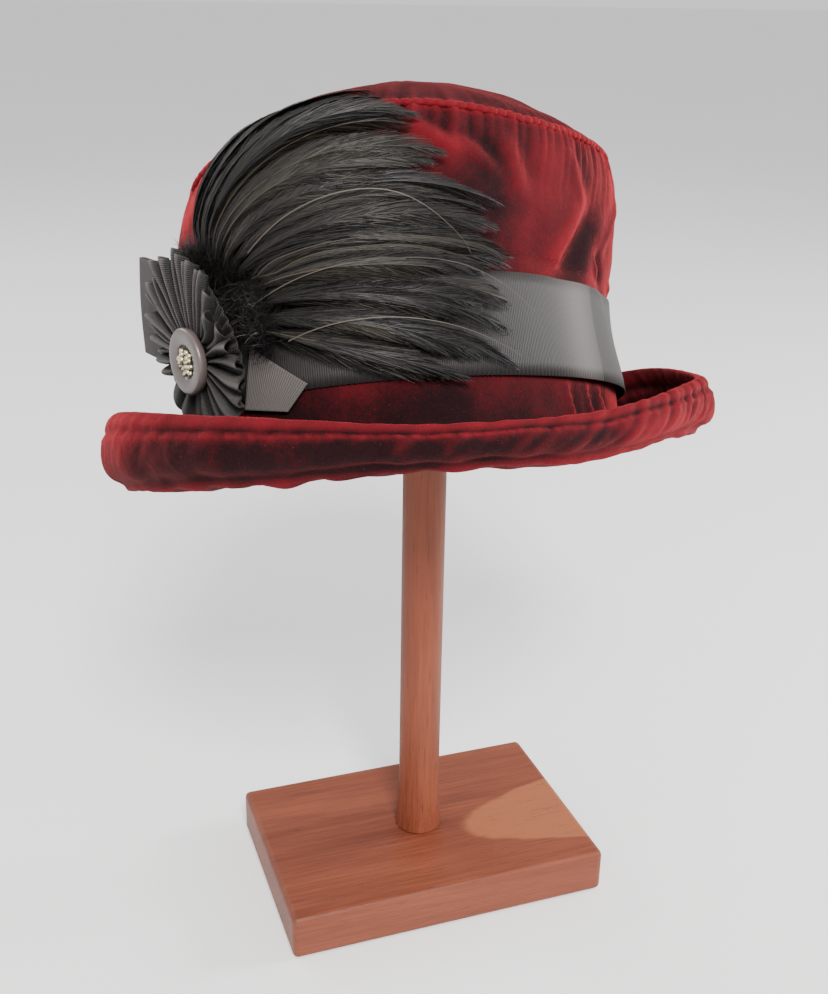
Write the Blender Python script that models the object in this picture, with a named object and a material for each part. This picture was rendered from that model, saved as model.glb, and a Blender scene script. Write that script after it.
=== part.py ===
"""A velvet hat with a ribbon band, a feather fan, a pleated rosette and a button,
resting on its plain wooden stand.

The stand stands upright on the world's origin, with its length along X. The hat
is built about its own axis, with its front towards -Y and the head's opening at
height zero. The empty hat_frame leans it back and sets it down on the stand.
Azimuths are in degrees round the hat's axis, counted from +X towards +Y.
"""

import math

import bmesh
import bpy
from mathutils import Matrix, Vector

MM = 0.001

# Clearances and facets
FIT_GAP = 0.3 * MM
ROUND_STEPS = 56
TURNED_STEPS = 24

# Stand
BLOCK_LENGTH = 150 * MM
BLOCK_WIDTH = 100 * MM
BLOCK_HEIGHT = 21.4 * MM
BLOCK_ROUNDING = 2.5 * MM
POST_DIAMETER = 19 * MM
POST_FOOT_FLARE = 1.4 * MM
POST_FOOT_HEIGHT = 30 * MM
STAND_HEIGHT = 359.1 * MM
STAND_HEAD_DIAMETER = 64 * MM
STAND_HEAD_DOME = 42 * MM
STAND_HEAD_DEPTH = 30 * MM
STAND_HEAD_NECK = 30 * MM

# How the hat sits on the stand
HAT_LEAN = 25.9
HAT_LEAN_TOWARDS = 84.6
HAT_SPIN = -48.3
HAT_OFFSET_X = -3.3 * MM
HAT_OFFSET_Y = 0.9 * MM

# Crown
HEAD_LENGTH = 199 * MM
HEAD_WIDTH = 165 * MM
CROWN_HEIGHT = 142 * MM
CROWN_WALL = 2.0 * MM
CROWN_SWAY_TOWARDS = 30.0
SEAM_GAP = 1.2 * MM
PIPING_DIAMETER = 2.4 * MM

# Brim, sewn from two lengths of padded velvet that meet along the fold
BRIM_WIDTH = 39 * MM
BRIM_DROP = 25 * MM
BRIM_TURN_UP = 34 * MM
BRIM_THICKNESS = 3.2 * MM
BRIM_SEAT = 2 * MM
BRIM_SEAT_DROP = 0.36
BRIM_RIPPLES = 14
BRIM_RIPPLE_DEPTH = 0.7 * MM
BRIM_FOLD_AT = 0.5
BRIM_FOLD_GAP = 1.4 * MM

# Ribbon
RIBBON_WIDTH = 38 * MM
RIBBON_THICKNESS = 1.0 * MM
BAND_HEIGHT = 10 * MM
BAND_FLARE = 3.0 * MM

# Rosette, loop and button, in a frame that lies on the band
COCKADE_AZIMUTH = 254.5
COCKADE_HEIGHT = 28.5 * MM
COCKADE_TURN = 23.4
COCKADE_NOD = 11.5
ROSETTE_RADIUS = 45 * MM
ROSETTE_CORE_RADIUS = 12 * MM
ROSETTE_RISE = 10.5 * MM
ROSETTE_THICKNESS = 2.5 * MM
ROSETTE_PLEATS = 24
PLEAT_DEPTH = 1.3 * MM
LOOP_LENGTH = 54 * MM
LOOP_START = 22 * MM
LOOP_LIFT = 9.5 * MM
LOOP_RISE = 3.2 * MM
LOOP_FOLD_RADIUS = 1.3 * MM
BUTTON_DIAMETER = 26 * MM
BUTTON_THICKNESS = 5 * MM
BUTTON_RECESS_DIAMETER = 14 * MM
BUTTON_RECESS_DEPTH = 1.6 * MM
BEAD_DIAMETER = 2.3 * MM
BEAD_BED_HEIGHT = 0.7 * MM

# Feathers
FAN_STANDOFF = 3.1 * MM
FAN_ROOT_STANDOFF = 1.9 * MM
FAN_THICKNESS = 4.2 * MM
FAN_TIP_THICKNESS = 1.0 * MM
FAN_NOTCH = 0.12

# Crown profile. Columns: height in crown heights, reach in head ovals, and the
# sideways sway in half head widths.
CROWN_ROWS = (
    (-0.015, 1.000, 0.000),
    (0.150, 1.000, 0.000),
    (0.345, 1.000, 0.000),
    (0.400, 1.022, 0.000),
    (0.480, 1.050, 0.006),
    (0.563, 1.056, 0.023),
    (0.648, 1.047, 0.054),
    (0.718, 1.012, 0.079),
    (0.765, 0.950, 0.090),
    (0.813, 0.845, 0.093),
    (0.880, 0.703, 0.093),
    (0.930, 0.567, 0.091),
    (0.972, 0.392, 0.087),
    (0.994, 0.192, 0.083),
    (1.000, 0.000, 0.081),
)

# Seam between side and tip. Columns: azimuth, height in crown heights.
SEAM_ROWS = (
    (0, 0.738), (30, 0.755), (60, 0.765), (90, 0.760), (120, 0.750), (150, 0.740),
    (180, 0.725), (210, 0.715), (240, 0.712), (270, 0.758), (300, 0.772), (330, 0.738),
)

# Soft folds in the velvet. Columns: azimuth, height in crown heights, width in
# degrees, height of the fold in crown heights, slant in degrees for each crown
# height, and depth in crown walls.
FOLD_ROWS = (
    (352, 0.44, 7, 0.13, 60, 1.3),
    (12, 0.38, 5, 0.06, -40, 0.8),
    (300, 0.62, 9, 0.10, 30, 0.6),
    (205, 0.52, 8, 0.12, -30, 0.7),
    (120, 0.56, 10, 0.12, 25, 0.8),
)

# Brim section. Columns: azimuth, spread in brim widths, drop of the fold in brim
# drops, height of the turned-up edge over the fold in turn-ups.
BRIM_ROWS = (
    (0, 1.00, 0.64, 0.56),
    (30, 1.00, 0.42, 0.75),
    (60, 0.98, 0.28, 1.05),
    (90, 0.95, 0.20, 1.05),
    (120, 0.94, 0.20, 0.91),
    (150, 0.94, 0.30, 0.87),
    (180, 0.96, 0.42, 0.81),
    (210, 1.00, 0.54, 0.79),
    (240, 1.02, 0.75, 0.90),
    (270, 1.00, 0.94, 0.69),
    (300, 1.00, 1.00, 0.41),
    (330, 1.00, 0.98, 0.45),
)

# Rosette outline. Columns: angle round the button, reach in rosette radii.
ROSETTE_ROWS = (
    (0, 0.80), (30, 0.72), (60, 0.70), (90, 0.74), (120, 0.88), (150, 1.00),
    (180, 0.92), (210, 0.62), (240, 0.66), (270, 0.50), (300, 0.48), (330, 0.60),
)

# Corners of the ribbon's cut tail. Columns: azimuth, height in ribbon widths.
TAIL_UPPER_ROWS = ((265.0, 0.74), (278.0, 0.30))
TAIL_LOWER_ROWS = ((262.0, 0.16), (273.0, 0.07))

# Feather locks, from the crown's top down. Columns: root azimuth and height,
# bend azimuth and height, tip azimuth and height; heights in crown heights.
FEATHER_ROWS = (
    (255.5, 0.430, 253.0, 0.690, 287.0, 0.825),
    (256.0, 0.410, 261.0, 0.770, 297.0, 0.780),
    (256.5, 0.390, 270.5, 0.755, 305.0, 0.676),
    (257.5, 0.366, 276.5, 0.669, 314.0, 0.549),
    (259.0, 0.345, 280.0, 0.567, 321.0, 0.465),
    (260.5, 0.324, 284.0, 0.465, 323.0, 0.352),
    (262.0, 0.296, 288.5, 0.373, 325.0, 0.225),
    (263.5, 0.268, 291.0, 0.282, 326.0, 0.085),
    (265.5, 0.250, 284.0, 0.155, 312.0, 0.050),
)

VELVET = ((0.100, 0.006, 0.012), 0.85, 0.0)
RIBBON = ((0.030, 0.028, 0.031), 0.70, 0.0)
FEATHER = ((0.018, 0.016, 0.015), 0.55, 0.0)
WOOD = ((0.290, 0.105, 0.055), 0.50, 0.0)
BUTTON_SHELL = ((0.110, 0.090, 0.092), 0.35, 0.0)
GILT = ((0.520, 0.440, 0.270), 0.30, 1.0)


def empty_scene():
    for old in list(bpy.data.objects):
        bpy.data.objects.remove(old, do_unlink=True)


def finish(name):
    """Plain material of one finish, given as colour, roughness and metallic."""
    return {"colour": name[0], "roughness": name[1], "metallic": name[2]}


def add_object(name, mesh_edit, look, parent=None, smooth=True):
    """Put a bmesh into the scene as a named object with its own material."""
    mesh = bpy.data.meshes.new(name)
    mesh_edit.to_mesh(mesh)
    mesh_edit.free()
    if smooth:
        mesh.shade_smooth()
        mesh.set_sharp_from_angle(angle=math.radians(40))
    piece = bpy.data.objects.new(name, mesh)
    bpy.context.collection.objects.link(piece)
    piece.parent = parent
    values = finish(look)
    material = bpy.data.materials.new(name)
    material.use_nodes = True
    shader = material.node_tree.nodes["Principled BSDF"]
    shader.inputs["Base Color"].default_value = (*values["colour"], 1)
    shader.inputs["Roughness"].default_value = values["roughness"]
    shader.inputs["Metallic"].default_value = values["metallic"]
    mesh.materials.append(material)
    return piece


def add_frame(name, matrix, parent=None):
    frame = bpy.data.objects.new(name, None)
    bpy.context.collection.objects.link(frame)
    frame.parent = parent
    frame.matrix_local = matrix
    return frame


def step_value(rows, column, place, closed):
    """Smooth value of one column at a place counted in rows."""
    last = len(rows) - 1
    low = math.floor(place) if closed else min(max(math.floor(place), 0), last - 1)
    part = place - low
    picks = [low + step for step in (-1, 0, 1, 2)]
    picks = [pick % len(rows) if closed else min(max(pick, 0), last) for pick in picks]
    a, b, c, d = (rows[pick][column] for pick in picks)
    bend = 2 * a - 5 * b + 4 * c - d
    return b + 0.5 * part * (c - a + part * (bend + part * (3 * (b - c) + d - a)))


def around(rows, column, azimuth):
    """Smooth value of a closed table whose rows lie at even azimuths."""
    return step_value(rows, column, azimuth * len(rows) / 360, True)


def ease(share):
    share = min(max(share, 0.0), 1.0)
    return share * share * (3 - 2 * share)


def face_outwards(body):
    bmesh.ops.recalc_face_normals(body, faces=body.faces)
    if body.calc_volume(signed=True) < 0:
        bmesh.ops.reverse_faces(body, faces=body.faces)


def mapped_grid(steps_across, steps_along, place):
    """Grid of faces whose corners a function of two shares puts in place."""
    sheet = bmesh.new()
    bmesh.ops.create_grid(sheet, x_segments=steps_across, y_segments=steps_along, size=0.5)
    for vert in sheet.verts:
        vert.co = place(vert.co.x + 0.5, vert.co.y + 0.5)
    bmesh.ops.remove_doubles(sheet, verts=sheet.verts, dist=0.00001)
    return sheet


def padded_patch(steps_across, steps_along, under, over):
    """Closed pad between two mapped surfaces, extruded from the lower one."""
    pad = bmesh.new()
    bmesh.ops.create_grid(pad, x_segments=steps_across, y_segments=steps_along, size=0.5)
    lower = list(pad.verts)
    raised = bmesh.ops.extrude_face_region(pad, geom=pad.faces[:])
    upper = [item for item in raised["geom"] if isinstance(item, bmesh.types.BMVert)]
    for verts, place in ((lower, under), (upper, over)):
        for vert in verts:
            vert.co = place(vert.co.x + 0.5, vert.co.y + 0.5)
    face_outwards(pad)
    return pad


def turned_body(rows, steps=TURNED_STEPS):
    """Body turned about Z from rows of radius and height, closed at both ends."""
    body = bmesh.new()
    rings = [bmesh.ops.create_circle(body, segments=steps, radius=radius)["verts"]
             for radius, height in rows]
    for ring, (radius, height) in zip(rings, rows):
        bmesh.ops.translate(body, verts=ring, vec=(0, 0, height))
    for lower, upper in zip(rings, rings[1:]):
        edges = {edge for vert in lower + upper for edge in vert.link_edges
                 if len(edge.link_faces) < 2}
        bmesh.ops.bridge_loops(body, edges=list(edges))
    for ring in (rings[0], rings[-1]):
        body.faces.new(ring)
    face_outwards(body)
    return body


def solidify(piece, thickness, offset):
    wall = piece.modifiers.new("wall", "SOLIDIFY")
    wall.thickness = thickness
    wall.offset = offset
    wall.use_even_offset = True
    return wall


def head_oval(azimuth):
    """Reach of the head oval from the hat's axis."""
    turn = math.radians(azimuth)
    wide, long = HEAD_WIDTH / 2, HEAD_LENGTH / 2
    return wide * long / math.hypot(long * math.cos(turn), wide * math.sin(turn))


def fold_depth(azimuth, height):
    """How far the velvet's soft folds lie inside the plain crown."""
    depth = 0.0
    for middle, level, width, tall, slant, walls in FOLD_ROWS:
        rise = height - level
        turn = (azimuth - middle - slant * rise + 180) % 360 - 180
        depth += walls * CROWN_WALL * math.exp(-(turn / width) ** 2 - (rise / tall) ** 2)
    return depth


def crown_point(azimuth, station):
    """Point of the crown's outer face; station counts the profile's rows."""
    height = step_value(CROWN_ROWS, 0, station, False)
    reach = head_oval(azimuth) * max(step_value(CROWN_ROWS, 1, station, False), 0.0)
    reach = max(reach - fold_depth(azimuth, height), 0.0)
    sway = HEAD_WIDTH / 2 * step_value(CROWN_ROWS, 2, station, False)
    turn, lean = math.radians(azimuth), math.radians(CROWN_SWAY_TOWARDS)
    return Vector((reach * math.cos(turn) + sway * math.cos(lean),
                   reach * math.sin(turn) + sway * math.sin(lean),
                   height * CROWN_HEIGHT))


def crown_normal(azimuth, station):
    last = len(CROWN_ROWS) - 1
    station = min(station, last - 0.2)
    along = crown_point(azimuth + 1, station) - crown_point(azimuth - 1, station)
    up = crown_point(azimuth, station + 0.05) - crown_point(azimuth, station - 0.05)
    return along.cross(up).normalized()


def station_at(height):
    """Profile station of a height given in crown heights."""
    low, high = 0.0, len(CROWN_ROWS) - 1.0
    for _ in range(30):
        middle = (low + high) / 2
        if step_value(CROWN_ROWS, 0, middle, False) < height:
            low = middle
        else:
            high = middle
    return low


def over_crown(azimuth, height, outset):
    """Point over the crown at a height given in metres, lifted off its face."""
    station = station_at(height / CROWN_HEIGHT)
    return crown_point(azimuth, station) + outset * crown_normal(azimuth, station)


def make_stand_base():
    block = bmesh.new()
    bmesh.ops.create_cube(block, size=1)
    size = Vector((BLOCK_LENGTH, BLOCK_WIDTH, BLOCK_HEIGHT))
    bmesh.ops.scale(block, vec=size, verts=block.verts)
    bmesh.ops.translate(block, vec=(0, 0, BLOCK_HEIGHT / 2), verts=block.verts)
    piece = add_object("stand_base", block, WOOD, smooth=False)
    edge = piece.modifiers.new("rounding", "BEVEL")
    edge.width = BLOCK_ROUNDING
    edge.segments = 3
    edge.limit_method = "ANGLE"


def make_stand_post():
    foot = BLOCK_HEIGHT + FIT_GAP
    top = STAND_HEIGHT - STAND_HEAD_DEPTH - FIT_GAP
    radius = POST_DIAMETER / 2
    rows = [(radius + POST_FOOT_FLARE * (1 - share) ** 2, foot + share * POST_FOOT_HEIGHT)
            for share in (0, 0.2, 0.45, 0.7, 1)]
    rows.append((radius, top))
    add_object("stand_post", turned_body(rows), WOOD)


def dome_drop(reach):
    """How far the stand head's dome lies below its top at a distance from the post."""
    return STAND_HEAD_DOME - math.sqrt(max(STAND_HEAD_DOME ** 2 - reach ** 2, 0))


def make_stand_head():
    half = STAND_HEAD_DIAMETER / 2
    rows = [(STAND_HEAD_NECK / 2, STAND_HEIGHT - STAND_HEAD_DEPTH)]
    rim = STAND_HEIGHT - dome_drop(half)
    rows += [(half * 0.86, rim - 5 * MM), (half, rim - 2 * MM)]
    rows += [(half * share, STAND_HEIGHT - dome_drop(half * share))
             for share in (1, 0.85, 0.65, 0.4, 0.15)]
    add_object("stand_head", turned_body(rows), WOOD)


def hat_turn():
    lean = Matrix.Rotation(math.radians(HAT_LEAN), 4, "Y")
    towards = Matrix.Rotation(math.radians(HAT_LEAN_TOWARDS), 4, "Z")
    spin = Matrix.Rotation(math.radians(HAT_SPIN), 4, "Z")
    return towards @ lean @ towards.inverted() @ spin


def hat_rest_height():
    """Height of the head's opening when the crown rests on the stand's head."""
    turn = hat_turn()
    offset = Vector((HAT_OFFSET_X, HAT_OFFSET_Y, 0))
    lowest = None
    for row in range(8 * (len(CROWN_ROWS) - 1)):
        station = row / 8
        for azimuth in range(0, 360, 3):
            inner = crown_point(azimuth, station) - CROWN_WALL * crown_normal(azimuth, station)
            spot = turn @ inner + offset
            reach = math.hypot(spot.x, spot.y)
            if reach < STAND_HEAD_DIAMETER / 2:
                room = spot.z + dome_drop(reach)
                lowest = room if lowest is None else min(lowest, room)
    return STAND_HEIGHT + FIT_GAP - lowest


def seam_station(azimuth):
    return station_at(around(SEAM_ROWS, 1, azimuth))


def seat_height(azimuth):
    """Height at which the brim joins the crown: lowest where the brim drops most."""
    return -BRIM_SEAT_DROP * BRIM_DROP * around(BRIM_ROWS, 2, azimuth)


def make_crown_side(hat):
    levels = [BAND_HEIGHT + RIBBON_WIDTH * share for share in (0, 0.5, 1)]
    stations = [0.0] + [station_at(level / CROWN_HEIGHT) for level in levels]
    rows_over_band = 6
    steps = len(stations) - 1 + rows_over_band

    def place(across, along):
        azimuth, row = 360 * across, round(along * steps)
        if row == 0:
            return crown_point(azimuth, 0.0) + Vector((0, 0, seat_height(azimuth)))
        if row < len(stations):
            return crown_point(azimuth, stations[row])
        share = (row - len(stations) + 1) / rows_over_band
        band_top = stations[-1]
        return crown_point(azimuth, band_top + (seam_station(azimuth) - band_top) * share)

    side = add_object("crown_side", mapped_grid(ROUND_STEPS, steps, place), VELVET, hat)
    solidify(side, CROWN_WALL, -1)


def make_crown_tip(hat):
    top = len(CROWN_ROWS) - 1
    gap = SEAM_GAP / (CROWN_HEIGHT * (CROWN_ROWS[9][0] - CROWN_ROWS[8][0]))

    def place(across, along):
        azimuth = 360 * across
        start = seam_station(azimuth) + gap
        return crown_point(azimuth, start + (top - start) * along)

    tip = add_object("crown_tip", mapped_grid(ROUND_STEPS, 6, place), VELVET, hat)
    solidify(tip, CROWN_WALL, -1)


def make_crown_piping(hat):
    radius = PIPING_DIAMETER / 2
    sides = 6

    def place(across, along):
        azimuth = 360 * across
        station = seam_station(azimuth)
        outward = crown_normal(azimuth, station)
        path = crown_point(azimuth + 1, station) - crown_point(azimuth - 1, station)
        up = outward.cross(path.normalized())
        middle = crown_point(azimuth, station) + (FIT_GAP + radius) * outward
        turn = 2 * math.pi * along
        return middle + radius * (math.cos(turn) * outward + math.sin(turn) * up)

    ring = mapped_grid(ROUND_STEPS, sides, place)
    face_outwards(ring)
    add_object("crown_piping", ring, VELVET, hat)


def brim_point(azimuth, along):
    """Middle of the brim's thickness, from the crown outwards and up to the rim."""
    spread = BRIM_WIDTH * around(BRIM_ROWS, 1, azimuth) - BRIM_THICKNESS / 2
    drop = BRIM_DROP * around(BRIM_ROWS, 2, azimuth) - BRIM_THICKNESS / 2
    turn_up = BRIM_TURN_UP * around(BRIM_ROWS, 3, azimuth) - BRIM_THICKNESS / 2
    roll_out, roll_up = 0.40 * spread, 0.48 * turn_up
    ripple = BRIM_RIPPLE_DEPTH * math.sin(math.radians(BRIM_RIPPLES * azimuth))
    end_angle = 48.0
    if along <= BRIM_FOLD_AT:
        share = along / BRIM_FOLD_AT
        out = BRIM_SEAT + (spread - roll_out - BRIM_SEAT) * share
        seat = seat_height(azimuth)
        height = seat - (drop + seat) * ease(share)
    else:
        share = (along - BRIM_FOLD_AT) / (1 - BRIM_FOLD_AT)
        angle = math.radians(-90 + (90 + end_angle) * share)
        out = spread - roll_out + roll_out * math.cos(angle)
        height = roll_up - drop + roll_up * math.sin(min(angle, 0))
        if angle > 0:
            height += (turn_up - roll_up) * math.sin(angle) / math.sin(math.radians(end_angle))
        height += ripple * math.cos(angle) * (1 - share)
    turn = math.radians(azimuth)
    reach = head_oval(azimuth) + FIT_GAP + out
    return Vector((reach * math.cos(turn), reach * math.sin(turn), height))


def make_brim(hat):
    """The sloping floor of the brim, from the crown to the fold."""
    steps = 4

    def place(across, along):
        row = round(along * steps)
        azimuth = 360 * across
        if row == 0:
            turn = math.radians(azimuth)
            reach = head_oval(azimuth) + FIT_GAP
            return Vector((reach * math.cos(turn), reach * math.sin(turn), seat_height(azimuth)))
        return brim_point(azimuth, BRIM_FOLD_AT * (row - 1) / (steps - 1))

    brim = add_object("brim", mapped_grid(ROUND_STEPS, steps, place), VELVET, hat)
    solidify(brim, BRIM_THICKNESS, 0)


def make_brim_edge(hat):
    """The turned-up outer part of the brim, from the fold to the rim."""
    def place(across, along):
        azimuth = 360 * across
        point = brim_point(azimuth, BRIM_FOLD_AT + (1 - BRIM_FOLD_AT) * along)
        if along < 0.01:
            turn = math.radians(azimuth)
            point += BRIM_FOLD_GAP * Vector((math.cos(turn), math.sin(turn), 0))
        return point

    edge = add_object("brim_edge", mapped_grid(ROUND_STEPS, 5, place), VELVET, hat)
    solidify(edge, BRIM_THICKNESS, 0)


def band_outset(azimuth, height):
    """How far the band's inner face stands off the crown."""
    share = 1 - ease((height - BAND_HEIGHT) / RIBBON_WIDTH)
    side = max(math.cos(math.radians(azimuth - CROWN_SWAY_TOWARDS)), 0)
    return FIT_GAP + BAND_FLARE * side ** 2 * share ** 2


def make_hat_band(hat):
    def place(across, along):
        azimuth, height = 360 * across, BAND_HEIGHT + RIBBON_WIDTH * along
        return over_crown(azimuth, height, band_outset(azimuth, height))

    band = add_object("hat_band", mapped_grid(ROUND_STEPS, 2, place), RIBBON, hat)
    solidify(band, RIBBON_THICKNESS, 1)


def cockade_matrix():
    """Frame on the band: X to the right, Y up and Z out, as the rosette faces."""
    azimuth = COCKADE_AZIMUTH
    outset = band_outset(azimuth, COCKADE_HEIGHT) + RIBBON_THICKNESS
    spot = over_crown(azimuth, COCKADE_HEIGHT, outset)
    out = crown_normal(azimuth, station_at(COCKADE_HEIGHT / CROWN_HEIGHT))
    right = Vector((0, 0, 1)).cross(out).normalized()
    up = out.cross(right)
    wall = Matrix((right, up, out)).transposed().to_4x4()
    turn = Matrix.Rotation(math.radians(-COCKADE_TURN), 4, "Z")
    nod = Matrix.Rotation(math.radians(COCKADE_NOD), 4, "X")
    return Matrix.Translation(spot) @ wall @ turn @ nod


def rosette_reach(angle):
    return ROSETTE_RADIUS * around(ROSETTE_ROWS, 1, angle)


def make_rosette(cockade):
    slope = math.tan(math.radians(COCKADE_NOD))
    core = ROSETTE_CORE_RADIUS
    under = ROSETTE_RISE - ROSETTE_THICKNESS
    steps = 2 * ROSETTE_PLEATS

    # Columns: share of the way from the core to the outline, height, pleat depth
    rows = (
        (None, ROSETTE_RISE, 0.0),
        (0.0, ROSETTE_RISE, 0.0),
        (0.45, ROSETTE_RISE + 1.5 * MM, 0.8),
        (1.0, ROSETTE_RISE, 1.0),
        (1.0, under, 1.0),
        (0.45, under + 1.0 * MM, 0.8),
        (0.0, under, 0.0),
        (0.0, None, 0.0),
        (None, None, 0.0),
    )

    def place(across, along):
        share, height, pleat = rows[round(along * (len(rows) - 1))]
        column = round(across * steps) % steps
        angle = 360 * column / steps
        reach = 0.0 if share is None else core + share * (rosette_reach(angle) - core)
        turn = math.radians(angle)
        x, y = reach * math.cos(turn), reach * math.sin(turn)
        if height is None:
            height = FIT_GAP - y * slope
        else:
            height += pleat * PLEAT_DEPTH * (1 if column % 2 else -1)
        return Vector((x, y, height))

    body = mapped_grid(steps, len(rows) - 1, place)
    face_outwards(body)
    add_object("rosette", body, RIBBON, cockade)


def make_ribbon_loop(cockade):
    fold_steps = 4
    fold = -(LOOP_LENGTH - LOOP_FOLD_RADIUS)
    path = [(-LOOP_START, LOOP_RISE)]
    for step in range(fold_steps + 1):
        turn = math.radians(-90 + 180 * step / fold_steps)
        path.append((fold - LOOP_FOLD_RADIUS * math.cos(turn),
                     LOOP_RISE + LOOP_FOLD_RADIUS * (1 + math.sin(turn))))
    path.append((-LOOP_START, LOOP_RISE + 2 * LOOP_FOLD_RADIUS))

    def place(across, along):
        x, z = path[round(across * (len(path) - 1))]
        return Vector((x, LOOP_LIFT + RIBBON_WIDTH * (along - 0.5), z))

    loop = add_object("ribbon_loop", mapped_grid(len(path) - 1, 1, place), RIBBON, cockade)
    solidify(loop, RIBBON_THICKNESS, 0)


def make_ribbon_tail(hat):
    stand_off = FIT_GAP + RIBBON_THICKNESS + FIT_GAP

    def spot(across, along, outset):
        lower = [a + (b - a) * across for a, b in zip(*TAIL_LOWER_ROWS)]
        upper = [a + (b - a) * across for a, b in zip(*TAIL_UPPER_ROWS)]
        azimuth, height = (a + (b - a) * along for a, b in zip(lower, upper))
        return over_crown(azimuth, RIBBON_WIDTH * height, outset)

    def under(across, along):
        return spot(across, along, stand_off)

    def over(across, along):
        return spot(across, along, stand_off + RIBBON_THICKNESS)

    add_object("ribbon_tail", padded_patch(4, 2, under, over), RIBBON, hat)


def make_button(cockade):
    back = ROSETTE_RISE + FIT_GAP
    face = back + BUTTON_THICKNESS
    radius, recess = BUTTON_DIAMETER / 2, BUTTON_RECESS_DIAMETER / 2
    rows = [
        (radius * 0.80, back),
        (radius, back + BUTTON_THICKNESS * 0.45),
        (radius, back + BUTTON_THICKNESS * 0.70),
        (radius * 0.94, face - 0.4 * MM),
        (radius * 0.80, face),
        (recess, face - 0.3 * MM),
        (recess - 0.4 * MM, face - BUTTON_RECESS_DEPTH),
    ]
    add_object("button", turned_body(rows), BUTTON_SHELL, cockade)


def make_button_beads(cockade):
    floor = ROSETTE_RISE + FIT_GAP + BUTTON_THICKNESS - BUTTON_RECESS_DEPTH + FIT_GAP
    bed_radius = BUTTON_RECESS_DIAMETER / 2 - 0.4 * MM - FIT_GAP
    bed = turned_body([(bed_radius, floor), (bed_radius, floor + BEAD_BED_HEIGHT)])
    cluster = add_object("button_beads", bed, GILT, cockade)
    beads = bmesh.new()
    for ring, count in ((0, 1), (1, 6), (2, 12)):
        for index in range(count):
            turn = 2 * math.pi * index / count
            reach = ring * (BEAD_DIAMETER + 0.25 * MM)
            spot = (reach * math.cos(turn), reach * math.sin(turn), floor + BEAD_DIAMETER / 2)
            bmesh.ops.create_uvsphere(beads, u_segments=6, v_segments=4,
                                      radius=BEAD_DIAMETER / 2, matrix=Matrix.Translation(spot))
    guide = add_object("bead_guide", beads, GILT, cockade)
    guide.hide_render = True
    guide.display_type = "WIRE"
    union = cluster.modifiers.new("beads", "BOOLEAN")
    union.operation = "UNION"
    union.object = guide


def make_feather_fan(hat):
    columns_per_lock = 4
    steps_across = columns_per_lock * (len(FEATHER_ROWS) - 1)

    def spot(across, along, outset):
        row = across * (len(FEATHER_ROWS) - 1)
        valley = 0.5 - 0.5 * math.cos(2 * math.pi * row)
        share = along * (1 - FAN_NOTCH * valley)
        values = [step_value(FEATHER_ROWS, column, row, False) for column in range(6)]
        root, bend, tip = values[0:2], values[2:4], values[4:6]
        azimuth, height = ((1 - share) ** 2 * a + 2 * share * (1 - share) * b + share ** 2 * c
                           for a, b, c in zip(root, bend, tip))
        return over_crown(azimuth, height * CROWN_HEIGHT, outset)

    def stand_off(along):
        return FAN_ROOT_STANDOFF + (FAN_STANDOFF - FAN_ROOT_STANDOFF) * ease(4 * along)

    def under(across, along):
        return spot(across, along, stand_off(along))

    def over(across, along):
        row = across * (len(FEATHER_ROWS) - 1)
        edge = 0.5 + 0.5 * ease(min(row, len(FEATHER_ROWS) - 1 - row))
        ridge = edge * (0.72 + 0.28 * math.cos(2 * math.pi * row))
        full = math.sin(math.pi * min(along * 0.9 + 0.16, 1)) ** 0.7
        thickness = FAN_TIP_THICKNESS + (FAN_THICKNESS - FAN_TIP_THICKNESS) * full * ridge
        return spot(across, along, stand_off(along) + thickness)

    add_object("feather_fan", padded_patch(steps_across, 11, under, over), FEATHER, hat)


def main():
    empty_scene()
    make_stand_base()
    make_stand_post()
    make_stand_head()
    rest = Vector((HAT_OFFSET_X, HAT_OFFSET_Y, hat_rest_height()))
    hat = add_frame("hat_frame", Matrix.Translation(rest) @ hat_turn())
    make_crown_side(hat)
    make_crown_tip(hat)
    make_crown_piping(hat)
    make_brim(hat)
    make_brim_edge(hat)
    make_hat_band(hat)
    make_ribbon_tail(hat)
    make_feather_fan(hat)
    cockade = add_frame("cockade_frame", cockade_matrix(), hat)
    make_rosette(cockade)
    make_ribbon_loop(cockade)
    make_button(cockade)
    make_button_beads(cockade)


main()
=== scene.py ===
"""Velvet hat with a ribbon band, a feather fan and a rosette, on its wooden stand."""

import math
import random

import bmesh
import bpy
import numpy as np
from mathutils import Matrix, Vector, noise


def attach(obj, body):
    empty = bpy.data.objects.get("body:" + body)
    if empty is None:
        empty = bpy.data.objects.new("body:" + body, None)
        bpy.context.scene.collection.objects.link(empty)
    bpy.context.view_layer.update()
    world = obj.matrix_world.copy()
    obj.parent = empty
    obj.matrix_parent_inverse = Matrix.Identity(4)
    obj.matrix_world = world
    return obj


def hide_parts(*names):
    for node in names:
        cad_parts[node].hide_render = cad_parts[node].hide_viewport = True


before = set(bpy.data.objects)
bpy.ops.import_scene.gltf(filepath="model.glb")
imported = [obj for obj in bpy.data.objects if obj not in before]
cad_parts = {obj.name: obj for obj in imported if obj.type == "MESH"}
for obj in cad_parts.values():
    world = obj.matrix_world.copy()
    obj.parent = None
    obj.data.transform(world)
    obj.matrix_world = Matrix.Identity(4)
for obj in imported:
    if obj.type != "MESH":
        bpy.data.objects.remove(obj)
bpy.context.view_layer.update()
MM = 0.001

# The camera stands in front of the hat, a little to its left, and looks down on it.
# It leans by less than a degree.
CAMERA_SPOT = Vector((-0.172, -0.467, 0.3934))
CAMERA_AZIMUTH = math.radians(-19.7)
CAMERA_DOWN = math.radians(22.1)
CAMERA_LEAN = math.radians(0.94)
CAMERA_LENS = 44.69

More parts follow.
